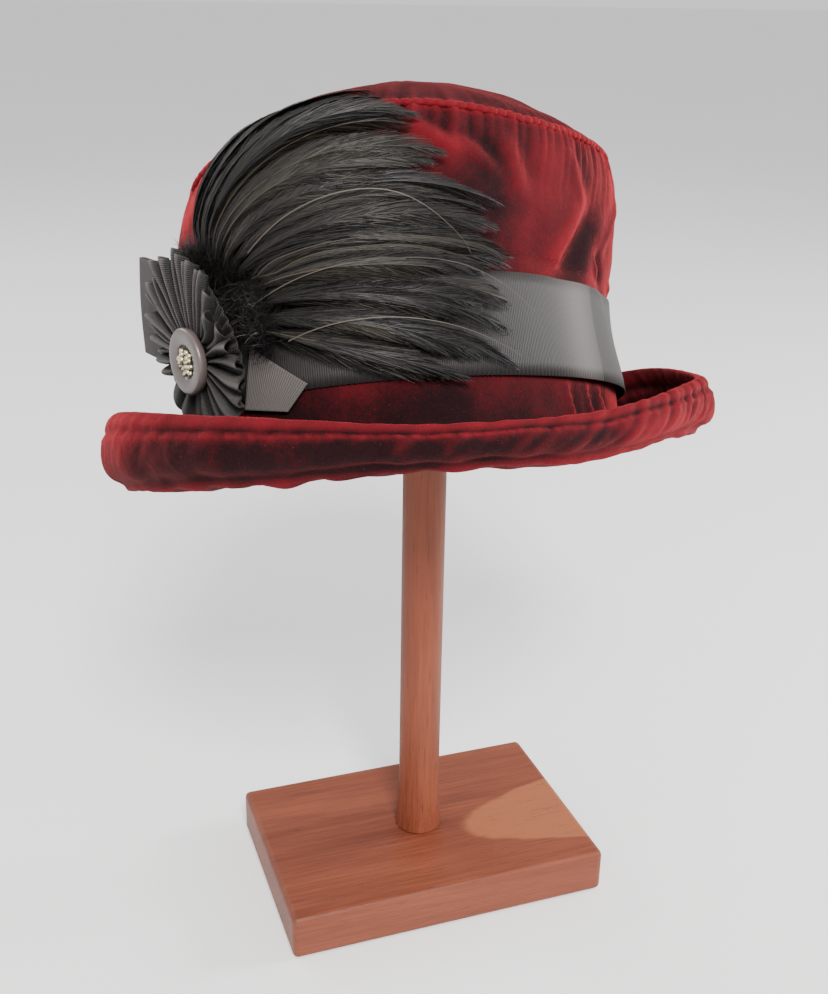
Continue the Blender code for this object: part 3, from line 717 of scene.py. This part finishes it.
def add_brim():
    def place(across, along):
        azimuth = 360 * across
        run = 0.5 - 0.5 * np.cos(2 * math.pi * along)
        under = (along > 0.5).astype(float)
        side = np.sign(np.sin(2 * math.pi * along))
        side = np.where(np.abs(np.sin(2 * math.pi * along)) < 1e-6, 0.0, side)
        round_off = np.sqrt(np.clip(1 - ((run - 0.97) / 0.03).clip(0, 1) ** 2, 0, 1))
        round_off *= np.sqrt(np.clip(1 - ((0.02 - run) / 0.02).clip(0, 1) ** 2, 0, 1))
        middle = brim_point(azimuth, run * 0.985)
        normal = brim_normal(azimuth, run * 0.985)
        swell, tone = brim_relief(azimuth, run, under, middle)
        swell = swell * ease(run * 8)
        half = side * (BRIM_THICKNESS / 2 * round_off + swell * round_off)
        rim = BRIM_THICKNESS / 2 * ((run - 0.97) / 0.03).clip(0, 1)
        outward = level_normal(brim_point(azimuth, np.ones_like(run))
                               - brim_point(azimuth, np.full_like(run, 0.96)))
        return middle + half[:, None] * normal + (0.5 * rim)[:, None] * outward, tone

    body = mapped_grid(760, 112, place)
    bmesh.ops.recalc_face_normals(body, faces=body.faces)
    brim = add_piece("brim_velvet", body, velvet("brim_velvet", sheen=0.38))
    declare(brim, "velvet", "brim", "brim_edge")


add_brim()

# The band is charcoal grosgrain, ribbed across its width, with a picot lower edge. It
# stands a little off the crown on the right and lies flat elsewhere.
RIBBON_WIDTH, RIBBON_THICKNESS, BAND_HEIGHT = 38 * MM, 1.0 * MM, 10 * MM
BAND_LENGTH = 572 * MM
RIB_PITCH, PICOT_PITCH = 0.8, 1.9 * MM
SHEEN_AZIMUTH = 352


def grosgrain_finish():
    """Ribs across the ribbon; the place is in millimetres along and across it."""
    place, accent = add_group("grosgrain")
    parts = parted(place)
    wobble = times(noise_value(place, 0.35, 2.0), 0.5)
    run = times(calc("ADD", parts[0], wobble), 2 * math.pi / RIB_PITCH)
    rib = calc("ABSOLUTE", calc("SINE", times(run, 0.5)))
    cross = calc("SINE", times(parts[1], 2 * math.pi / 0.32))
    thread = times(cross, 0.12)
    cloud = noise_value(place, 0.06, 3.0)
    # Painted shade: the colour is darker in the grooves between ribs and threads.
    tone = calc("ADD", graded(rib, 0.1, 1.0, 0.15, 0.85), thread)
    colour = mixed(tone, (0.0040, 0.0035, 0.0038, 1), (0.0190, 0.0162, 0.0160, 1))
    colour = mixed(graded(cloud, 0.35, 0.75, 0.0, 0.5), colour, (0.0125, 0.0108, 0.0108, 1))
    # The accent carries painted highlights towards pale and, below zero, painted shade towards
    # black.
    pale = mixed(tone, (0.105, 0.093, 0.088, 1), (0.185, 0.165, 0.157, 1))
    colour = mixed(accent, colour, pale)
    colour = mixed(times(accent, -3.0), colour, (0.002, 0.0018, 0.002, 1))
    height = calc("ADD", rib, thread)
    return end_group(colour, graded(rib, 0, 1, 0.75, 0.5), height)


GROSGRAIN = grosgrain_finish()


def painted_sheen(place):
    """Painted highlight: an upright streak where the ribbon turns to the light, at its right end."""
    parts = parted(place)
    middle = BAND_LENGTH / MM * SHEEN_AZIMUTH / 360
    side = calc("DIVIDE", calc("SUBTRACT", parts[0], middle), 14.0)
    return times(calc("POWER", 2.718, times(times(side, side), -1.0)), 0.45)


def ribbon(name, size, accent, bump=0.00022, **look):
    """Grosgrain on a piece whose flat size is given in metres."""
    return add_material(name, GROSGRAIN, "UV", (size[0] / MM, size[1] / MM, 1), bump=bump,
                        accent=accent, sheen_weight=0.07, sheen_roughness=0.4,
                        sheen_tint=(0.85, 0.78, 0.74, 1), specular_ior_level=0.35, **look)


def band_outset(azimuth, height):
    share = 1 - ease((height - BAND_HEIGHT) / RIBBON_WIDTH)
    side = np.maximum(np.cos(np.radians(azimuth - CROWN_SWAY_TOWARDS)), 0)
    return 0.3 * MM + 3.0 * MM * side ** 2 * share ** 2


def add_band():
    def place(across, along):
        azimuth = 360 * across
        picot = 0.35 * MM * np.abs(np.sin(math.pi * across * BAND_LENGTH / PICOT_PITCH))
        height = BAND_HEIGHT + RIBBON_WIDTH * along - picot * (along < 0.001)
        ripple = 0.35 * MM * sine(azimuth * 9) * np.sin(math.pi * along)
        return over_crown(azimuth, height, band_outset(azimuth, height) + ripple + 0.1 * MM)

    band = add_piece("ribbon_band", mapped_grid(1200, 8, place),
                     ribbon("band_grosgrain", (BAND_LENGTH, RIBBON_WIDTH), painted_sheen, 0.00008))
    add_thickness(band, 0.7 * MM, 1)
    declare(band, "ribbon", "hat_band")


add_band()

# The short cut end of the band's ribbon shows between the rosette and the feathers.
TAIL_UPPER_ROWS = ((265.0, 0.74), (278.0, 0.30))
TAIL_LOWER_ROWS = ((262.0, 0.16), (273.0, 0.07))
TAIL_SIZE = (22 * MM, 24 * MM)


def add_tail():
    def place(across, along):
        lower = [a + (b - a) * across for a, b in zip(*TAIL_LOWER_ROWS)]
        upper = [a + (b - a) * across for a, b in zip(*TAIL_UPPER_ROWS)]
        azimuth, height = (a + (b - a) * along for a, b in zip(lower, upper))
        curl = 0.5 * MM * across ** 2 * along
        return over_crown(azimuth, RIBBON_WIDTH * height, 1.65 * MM + curl)

    # Painted highlight: the cut end's ribbon is paler all over.
    tail = add_piece("ribbon_cut_end", mapped_grid(36, 30, place),
                     ribbon("tail_grosgrain", TAIL_SIZE, 0.55))
    add_thickness(tail, 0.8 * MM, 1)
    declare(tail, "ribbon", "ribbon_tail")


add_tail()

# A flat loop of the same ribbon sticks out to the left, behind the rosette.
COCKADE_AZIMUTH, COCKADE_HEIGHT, COCKADE_TURN, COCKADE_NOD = 254.5, 28.5 * MM, 23.4, 11.5
LOOP_LENGTH, LOOP_START, LOOP_LIFT, LOOP_RISE = 54 * MM, 14 * MM, 9.5 * MM, 3.2 * MM


def cockade_matrix():
    """Frame on the band: X to the right, Y up and Z out, as the rosette faces."""
    azimuth, height = np.array([COCKADE_AZIMUTH]), np.array([COCKADE_HEIGHT])
    outset = band_outset(azimuth, height) + RIBBON_THICKNESS
    spot = Vector(over_crown(azimuth, height, outset)[0])
    out = Vector(crown_normal(azimuth, station_at(height / CROWN_HEIGHT))[0])
    right = Vector((0, 0, 1)).cross(out).normalized()
    wall = Matrix((right, out.cross(right), out)).transposed().to_4x4()
    turn, nod = turned_by(-COCKADE_TURN, "Z"), turned_by(COCKADE_NOD, "X")
    return hat_matrix() @ Matrix.Translation(spot) @ wall @ turn @ nod


fold = -(LOOP_LENGTH - 1.3 * MM)
reach = fold + LOOP_START


def loop_corners(across, along):
    bend = np.clip((across - 0.47) / 0.06, 0, 1) * math.pi
    lower = np.minimum(across / 0.47, 1)
    upper = np.clip((1 - across) / 0.47, 0, 1)
    share = np.where(across < 0.5, lower, upper)
    x = -LOOP_START + reach * share - 1.3 * MM * np.sin(bend)
    z = LOOP_RISE + 1.3 * MM * (1 - np.cos(bend))
    z += 0.7 * MM * np.sin(math.pi * along) * share - 0.4 * MM * along * (across > 0.5)
    return np.stack((x, LOOP_LIFT + RIBBON_WIDTH * (along - 0.5), z), axis=1)


size = (2 * abs(reach), RIBBON_WIDTH)
# Painted highlight: the loop's ribbon is a little paler all over.
loop = add_piece("ribbon_flat_loop", mapped_grid(90, 36, loop_corners, cockade_matrix()),
                 ribbon("loop_grosgrain", size, 0.03))
add_thickness(loop, 0.8 * MM, 0)
declare(loop, "ribbon", "ribbon_loop")

# The rosette is ribbon laid in narrow knife pleats that fan out to the upper left, with
# broader ones below the button and short folded ends on its right.
ROSETTE_RADIUS, ROSETTE_CORE, ROSETTE_RISE = 45 * MM, 9 * MM, 10.5 * MM
# Reach of the pleats in rosette radii, every 30 degrees round the button
ROSETTE_ROWS = (
    (0, 0.78), (30, 0.72), (60, 0.70), (90, 0.80), (120, 0.92), (150, 0.93),
    (180, 0.76), (210, 0.60), (240, 0.66), (270, 0.50), (300, 0.48), (330, 0.60),
)
FAN_PLEATS, FAN_FIRST, FAN_LAST = 17, 82, 200
# Other pleats. Columns: direction, start and length in mm, width in mm, height of the
# fold in mm, lean, curl in mm
PLEAT_ROWS = (
    (226, 9, 20, 11, 2.6, 0.5, 0), (211, 9, 18, 9, 2.2, -0.4, -1), (243, 9, 18, 10, 3, 0.3, 0.5),
    (262, 9, 16, 14, 1.8, -0.3, 0), (290, 9, 17, 17, 2.6, 0.4, 0.5), (314, 9, 22, 15, 3.4, 0.5, 0.5),
    (333, 10, 24, 7, 4.4, -0.5, 0), (346, 10, 25, 5, 4.8, 0.7, 1), (358, 10, 25, 5, 4.6, -0.6, 1),
    (10, 11, 24, 5, 4.8, 0.5, 2), (22, 11, 22, 5, 5, -0.7, 3), (34, 12, 20, 6, 4.6, 0.8, 4),
    (47, 12, 18, 6, 5, -0.6, 5), (60, 11, 22, 5, 4.4, 0.6, 3), (72, 10, 27, 5, 4.2, -0.4, 1.5),
)


def add_rosette():
    """Thin disc of folded ribbon that the pleats are sewn to."""
    def place(across, along):
        angle = 360 * across
        fold = sine(angle * 40)
        reach = ROSETTE_RADIUS * around(ROSETTE_ROWS, 1, angle % 360) * (0.90 + 0.03 * fold)
        radius = ROSETTE_CORE * 0.4 + (reach - ROSETTE_CORE * 0.4) * along
        height = ROSETTE_RISE - 2.8 * MM + 0.8 * MM * fold * along
        # Painted shade: the disc is darker all over, towards black.
        return ring(radius, angle, height), 0 * angle - 0.2

    disc = add_piece("rosette_disc", mapped_grid(360, 12, place, cockade_matrix()),
                     ribbon("disc_grosgrain", (220 * MM, 34 * MM), painted_light_tone))
    add_thickness(disc, 0.45 * MM, -1)
    declare(disc, "ribbon", "rosette")


def pleat(start, length, width, fold, lean, curl):
    """One pleat along X: a strip arched over its own middle, narrow at the button."""
    def place(across, along):
        side = 2 * across - 1
        grown = 0.34 + 0.66 * ease(along * 1.15)
        crest = 1 - np.abs(side) ** 2.2
        arch = crest * fold * (0.6 + 0.4 * along) * (1 - 0.35 * along ** 8)
        tip = 1.0 * lean * side * along - 1.6 * side ** 2 * along ** 5
        x = start + length * along + tip
        y = side * width / 2 * grown + 1.2 * math.sin(start + 3 * width) * np.sin(3 * along)
        z = arch + lean * side * fold * 0.35 * along + curl * along ** 2.5
        z += 0.5 * np.sin(5 * along + 2 * lean) * along
        # Painted highlight along each pleat's crest and at its outer end, painted shade on its
        # sides.
        tone = 0.30 * np.clip(crest, 0, 1) ** 10 + 0.25 * along ** 16 * crest
        tone -= 0.36 * np.clip(1 - crest, 0, 1) ** 0.6 + 0.05
        return np.stack((x, y, z), axis=1) * MM, tone

    return place


add_rosette()

# The fan's pleats are drawn from waves of their number, the others from their rows.
whole = bmesh.new()
rows = []
for index in range(FAN_PLEATS):
    share = index / (FAN_PLEATS - 1)
    angle = FAN_FIRST + (FAN_LAST - FAN_FIRST) * share
    reach = ROSETTE_RADIUS / MM * float(around(ROSETTE_ROWS, 1, np.array([angle]))[0])
    reach *= 1 + 0.04 * math.sin(index * 2.1)
    rows.append((angle + 1.3 * math.sin(index * 4.1), 9, reach - 9,
                 3.3 + 0.6 * math.sin(index * 1.7), 4.6 + 0.8 * math.sin(index * 3.1),
                 0.45 + 0.3 * math.sin(index * 2.9), 0.6 * math.sin(index * 1.3)))
for number, (angle, *shape) in enumerate(rows + list(PLEAT_ROWS)):
    turn = turned_by(angle, "Z")
    lift = Matrix.Translation((0, 0, ROSETTE_RISE - 2.4 * MM + 0.7 * MM * (number % 2)))
    strip = mapped_grid(14, 32, pleat(*shape), cockade_matrix() @ turn @ lift)
    part = bpy.data.meshes.new("pleat")
    strip.to_mesh(part)
    strip.free()
    whole.from_mesh(part)
    bpy.data.meshes.remove(part)
pleats = add_piece("rosette_pleats", whole,
                   ribbon("pleat_grosgrain", (8 * MM, 30 * MM), painted_light_tone,
                          turn=(0, 0, math.radians(90))))
add_thickness(pleats, 0.5 * MM, 0)
declare(pleats, "ribbon")

# The button is smooth and mauve-grey, with a raised rim round a shallow recess.


def button_finish():
    place, _ = add_group("button_shell")
    cloud = noise_value(place, 160.0, 3.0)
    scuff = noise_value(place, 1400.0, 3.0, 0.7)
    colour = mixed(cloud, (0.062, 0.049, 0.047, 1), (0.115, 0.092, 0.086, 1))
    rough = graded(scuff, 0.3, 0.8, 0.30, 0.46)
    return end_group(colour, rough, scuff)


back = ROSETTE_RISE + 0.3 * MM
face, radius, recess = back + 4.6 * MM, 12.5 * MM, 6.2 * MM
edge = 1.3 * MM
rows = [(0.0, back), (radius * 0.80, back), (radius * 0.98, back + 1.6 * MM)]
for step in range(11):
    turn = math.radians(-10 + 92 * step / 10)
    rows.append((radius - edge + edge * math.cos(turn), face - edge + edge * math.sin(turn)))
rows += [(radius - 2.4 * MM, face + 0.05 * MM), (radius - 4 * MM, face - 0.15 * MM),
         (recess + 0.7 * MM, face - 0.45 * MM), (recess + 0.2 * MM, face - 0.65 * MM),
         (recess, face - 1.0 * MM), (recess - 0.3 * MM, face - 1.75 * MM),
         (0.0, face - 1.8 * MM)]
body = spun(rows, 96)
bmesh.ops.transform(body, matrix=cockade_matrix(), verts=body.verts)
material = add_material("button_shell", button_finish(), bump=0.00006, coat_weight=0.15,
                        coat_roughness=0.30)
declare(add_piece("button_shell", body, material), "button_shell", "button")

# Small pale gold beads are sewn in a loose heap into the button's recess.
BEAD_COUNT = 19


def gilt_finish():
    place, _ = add_group("gilt")
    wear = noise_value(place, 900.0, 2.0)
    colour = mixed(wear, (0.50, 0.43, 0.28, 1), (0.78, 0.72, 0.56, 1))
    return end_group(colour, graded(wear, 0.3, 0.8, 0.36, 0.50), wear)


draw = random.Random(11)
body = bmesh.new()
floor = ROSETTE_RISE + 3.1 * MM
for index in range(BEAD_COUNT):
    reach = 5.1 * MM * math.sqrt((index + 0.3) / BEAD_COUNT)
    turn = index * 2.399963
    size = (0.98 + 0.08 * draw.random()) * MM
    lift = size + (0.9 * MM if index in (1, 4, 6) else 0.1 * MM * draw.random())
    spot = Matrix.Translation((reach * math.cos(turn), reach * math.sin(turn), floor + lift))
    bmesh.ops.create_icosphere(body, subdivisions=3, radius=size, matrix=spot)
bmesh.ops.transform(body, matrix=cockade_matrix(), verts=body.verts)
material = add_material("gilt_beads", gilt_finish(), bump=0.00004, metallic=1.0)
declare(add_piece("gold_beads", body, material), "gilt", "button_beads")

# The fan is five layers of 26 hackle feathers, dyed black, sewn on from the top lock to
# the bottom one. Each has a fine paler shaft and soft barbs that sweep towards its tip.
FEATHER_LAYERS = 5
FEATHERS_IN_LAYER = 26
TUFTS = 11
BARBS_EACH_SIDE = 200
# Columns: root azimuth and height, bend, tip; heights in crown heights
FEATHER_ROWS = (
    (254.5, 0.430, 250.5, 0.740, 286.0, 0.870), (256.0, 0.410, 259.5, 0.780, 297.0, 0.790),
    (256.5, 0.390, 270.5, 0.755, 305.0, 0.676), (257.5, 0.366, 276.5, 0.669, 314.0, 0.549),
    (259.0, 0.345, 280.0, 0.567, 321.0, 0.465), (260.5, 0.324, 284.0, 0.465, 323.0, 0.352),
    (262.0, 0.296, 288.5, 0.373, 325.0, 0.225), (263.5, 0.268, 291.0, 0.282, 326.0, 0.085),
    (265.5, 0.250, 284.0, 0.155, 312.0, 0.050),
)


def feather_finish():
    """Black barbs with a painted olive-brown highlight; across the UV runs each feather's
    share of it.
    """
    place, accent = add_group("feather")
    parts = parted(place)
    tone = calc("ADD", parts[1], accent)
    colour = mixed(tone, (0.0020, 0.0017, 0.0022, 1), (0.042, 0.035, 0.025, 1))
    tip = graded(parts[0], 0.5, 1.0, 0.0, 0.35)
    colour = mixed(tip, colour, (0.010, 0.0085, 0.0085, 1))
    return end_group(colour, graded(tone, 0.0, 1.0, 0.52, 0.60), parts[0])


def bowed(values, share):
    """Azimuth and height along a curve that leaves its root towards its bend."""
    return [(1 - share) ** 2 * values[k] + 2 * share * (1 - share) * values[k + 2]
            + share ** 2 * values[k + 4] for k in (0, 1)]


def fan_path(row, share):
    """Azimuth and height in crown heights along a feather of one lock row."""
    return bowed([row_value(FEATHER_ROWS, column, row, False) for column in range(6)], share)


def strips(count, steps):
    """Separate narrow strips, each a column of faces, with the strip and its shares."""
    body = bmesh.new()
    body.loops.layers.uv.new("flat")
    bmesh.ops.create_grid(body, x_segments=2 * count - 1, y_segments=steps, size=0.5)
    gaps = [face for face in body.faces
            if round((face.calc_center_median().x + 0.5) * (2 * count - 1) - 0.5) % 2]
    bmesh.ops.delete(body, geom=gaps, context="FACES")
    shares = np.array([vert.co[:2] for vert in body.verts]) + 0.5
    column = np.round(shares[:, 0] * (2 * count - 1)).astype(int)
    return body, column // 2, column % 2, shares[:, 1]


def fan_frame(row, share, stand):
    """Point on a feather's path, with its sideways and outward directions."""
    points = []
    for nudge in (-0.01, 0.01, 0.0):
        azimuth, height = fan_path(row, share + nudge)
        points.append(over_crown(azimuth, height * CROWN_HEIGHT, stand))
    out = crown_normal(azimuth, station_at(height))
    forward = level_normal(points[1] - points[0])
    return points[2], level_normal(np.cross(out, forward)), out


def filled(body, corners, uv_along, uv_tone):
    """Put strip corners in place, in the hat's frame, and note each one's tone."""
    for vert, corner in zip(body.verts, placed(corners, hat_matrix())):
        vert.co = corner
    body.verts.index_update()
    layer = body.loops.layers.uv["flat"]
    pairs = list(zip(uv_along.tolist(), uv_tone.tolist()))
    for face in body.faces:
        for loop in face.loops:
            loop[layer].uv = pairs[loop.vert.index]


def add_feathers(layer, material):
    draw = np.random.default_rng(40 + layer)
    locks = len(FEATHER_ROWS) - 1
    tuft = np.arange(FEATHERS_IN_LAYER) % TUFTS
    middle = draw.uniform(-0.35, 0.35, TUFTS) + np.arange(TUFTS) * locks / (TUFTS - 1)
    reach_of = draw.uniform(0.76, 1.04, TUFTS)
    row = np.clip(middle[tuft] + draw.normal(0, 0.13, tuft.size), 0, locks)
    start = draw.uniform(0.0, 0.30, tuft.size) * (0.3 + 0.7 * layer / FEATHER_LAYERS)
    end = reach_of[tuft] - draw.uniform(0.0, 0.16, tuft.size) - 0.08 * (row < 0.8)
    wide = draw.uniform(2.6, 5.6, tuft.size) * MM
    arch = draw.uniform(0.3, 1.8, tuft.size) * MM
    tone = draw.uniform(0.0, 0.88, tuft.size) ** 2.8 + draw.uniform(0.0, 0.11, TUFTS)[tuft]
    skew = draw.uniform(-0.35, 0.35, tuft.size)
    base = 3.2 * MM + 0.85 * MM * layer
    close = 0.62 + 0.38 * ease(row / 2.6)

    def stand(which, share, run):
        settle = (ease(share * 5) * 0.6 + 0.4) * close[which]
        return (base * settle + arch[which] * np.sin(math.pi * np.clip(run, 0, 1))
                - 0.8 * MM * (run > 0.9) * (run - 0.9) * 10)

    count = FEATHERS_IN_LAYER * 2 * BARBS_EACH_SIDE
    body, strip, edge, along = strips(count, 3)
    which = strip // (2 * BARBS_EACH_SIDE)
    barb = strip % (2 * BARBS_EACH_SIDE)
    side = np.where(barb % 2, 1.0, -1.0)
    jitter = draw.uniform(-1, 1, (count, 5))[strip]
    run = (barb // 2 + 0.5 * jitter[:, 0]) / BARBS_EACH_SIDE
    length = end[which] - start[which]
    reach = wide[which] * np.sin(math.pi * np.clip(run * 0.86 + 0.14, 0, 1)) ** 0.6
    reach *= (1 + 0.25 * jitter[:, 1]) * (1 + skew[which] * side)
    sweep = 0.52 * (1 + 0.45 * jitter[:, 2]) * (1.06 - run)
    here = run + sweep * along
    share = start[which] + length * here
    lift = stand(which, share, here) - 0.9 * MM * along ** 1.5 * (1 + jitter[:, 3])
    spot, sideways, out = fan_frame(row[which], share, np.maximum(lift, 1.2 * MM))
    spread = side * reach * (along ** 1.05) * (1 - 0.35 * along * run)
    tilt = 0.40 * jitter[:, 4] + 0.35 * side + skew[which]
    width = (0.36 - 0.27 * along) * MM * (edge - 0.5)
    across = np.cos(tilt)[:, None] * sideways + np.sin(tilt)[:, None] * out
    corners = spot + spread[:, None] * sideways + width[:, None] * across
    # Painted highlight: the gloss is strongest in the middle of a feather and fades to its root and
    # tip.
    gloss = tone[which] * np.sin(math.pi * np.clip(run, 0, 1)) ** 0.6 + 0.12 * jitter[:, 1]
    filled(body, corners, along, np.clip(gloss, 0.0, 1.0))
    declare(add_piece("feather_barbs_%d" % layer, body, material), "feather", "feather_fan")

    body, which, edge, along = strips(FEATHERS_IN_LAYER, 28)
    share = start[which] + (end[which] - start[which]) * along
    spot, sideways, _ = fan_frame(row[which], share, stand(which, share, along) + 0.15 * MM)
    width = (0.42 - 0.32 * along) * MM * (edge - 0.5)
    corners = spot + width[:, None] * sideways
    pale = np.where(tone[which] > 0.33, 0.9, 0.15)
    filled(body, corners, along, pale)
    declare(add_piece("feather_shafts_%d" % layer, body, material), "feather")


FEATHER_LOOK = feather_finish()
FEATHER = add_material("dyed_feather", FEATHER_LOOK, "UV", bump=0.0, specular_ior_level=0.32)
for layer in range(FEATHER_LAYERS):
    add_feathers(layer, FEATHER)

# A few long pale shafts lie on top of the fan, without barbs of their own.
# Columns as in FEATHER_ROWS
PALE_SHAFT_ROWS = (
    (262.0, 0.245, 299.0, 0.500, 328.0, 0.225), (270.0, 0.430, 296.0, 0.640, 314.0, 0.370),
    (276.0, 0.185, 297.0, 0.270, 323.0, 0.110),
)
PALE_SHAFT = add_material("pale_shaft", FEATHER_LOOK, "UV", accent=1.2, bump=0.0)
body, which, edge, along = strips(len(PALE_SHAFT_ROWS), 48)
azimuth, height = bowed(np.array(PALE_SHAFT_ROWS)[which].T, along)
width = (0.50 - 0.36 * along) * (edge - 0.5)
height = height * CROWN_HEIGHT + width * MM
arch = (7.6 + 1.6 * np.sin(math.pi * along)) * MM
filled(body, over_crown(azimuth, height, arch), along * 0.4, np.full_like(along, 1.0))
declare(add_piece("feather_pale_shafts", body, PALE_SHAFT), "feather")

# Short fuzzy barbs of down hide the feathers' roots.
DOWN_STRIPS, DOWN_RADIUS = 5600, 0.095
draw = np.random.default_rng(77)
body, strip, edge, along = strips(DOWN_STRIPS, 4)
seed = draw.uniform(0, 1, (DOWN_STRIPS, 7))[strip]
turn = 2 * math.pi * seed[:, 2]
reach = (3 + 8 * seed[:, 3] ** 2) * MM
azimuth = 253.0 + 18 * seed[:, 0]
height = (66 - 30 * seed[:, 0] + (6 + 18 * seed[:, 0]) * (seed[:, 1] - 0.5)) * MM
lift = (2.5 + 5.5 * seed[:, 4] + 3.5 * along * seed[:, 5]) * MM
bend = turn + 4.5 * (seed[:, 6] - 0.5) * along
width = 0.30 * MM * (1 - 0.6 * along) * (edge - 0.5)
step = (reach * along * np.cos(bend) - width * np.sin(bend)) / DOWN_RADIUS
azimuth = azimuth + np.degrees(step)
height = height + reach * along * np.sin(bend) + width * np.cos(bend)
corners = over_crown(azimuth, height, lift)
# Painted highlights: some barbs of down are lighter towards their ends.
filled(body, corners, along * 0.5, 0.42 * seed[:, 5] ** 3 * along)
declare(add_piece("feather_down", body, FEATHER), "feather")
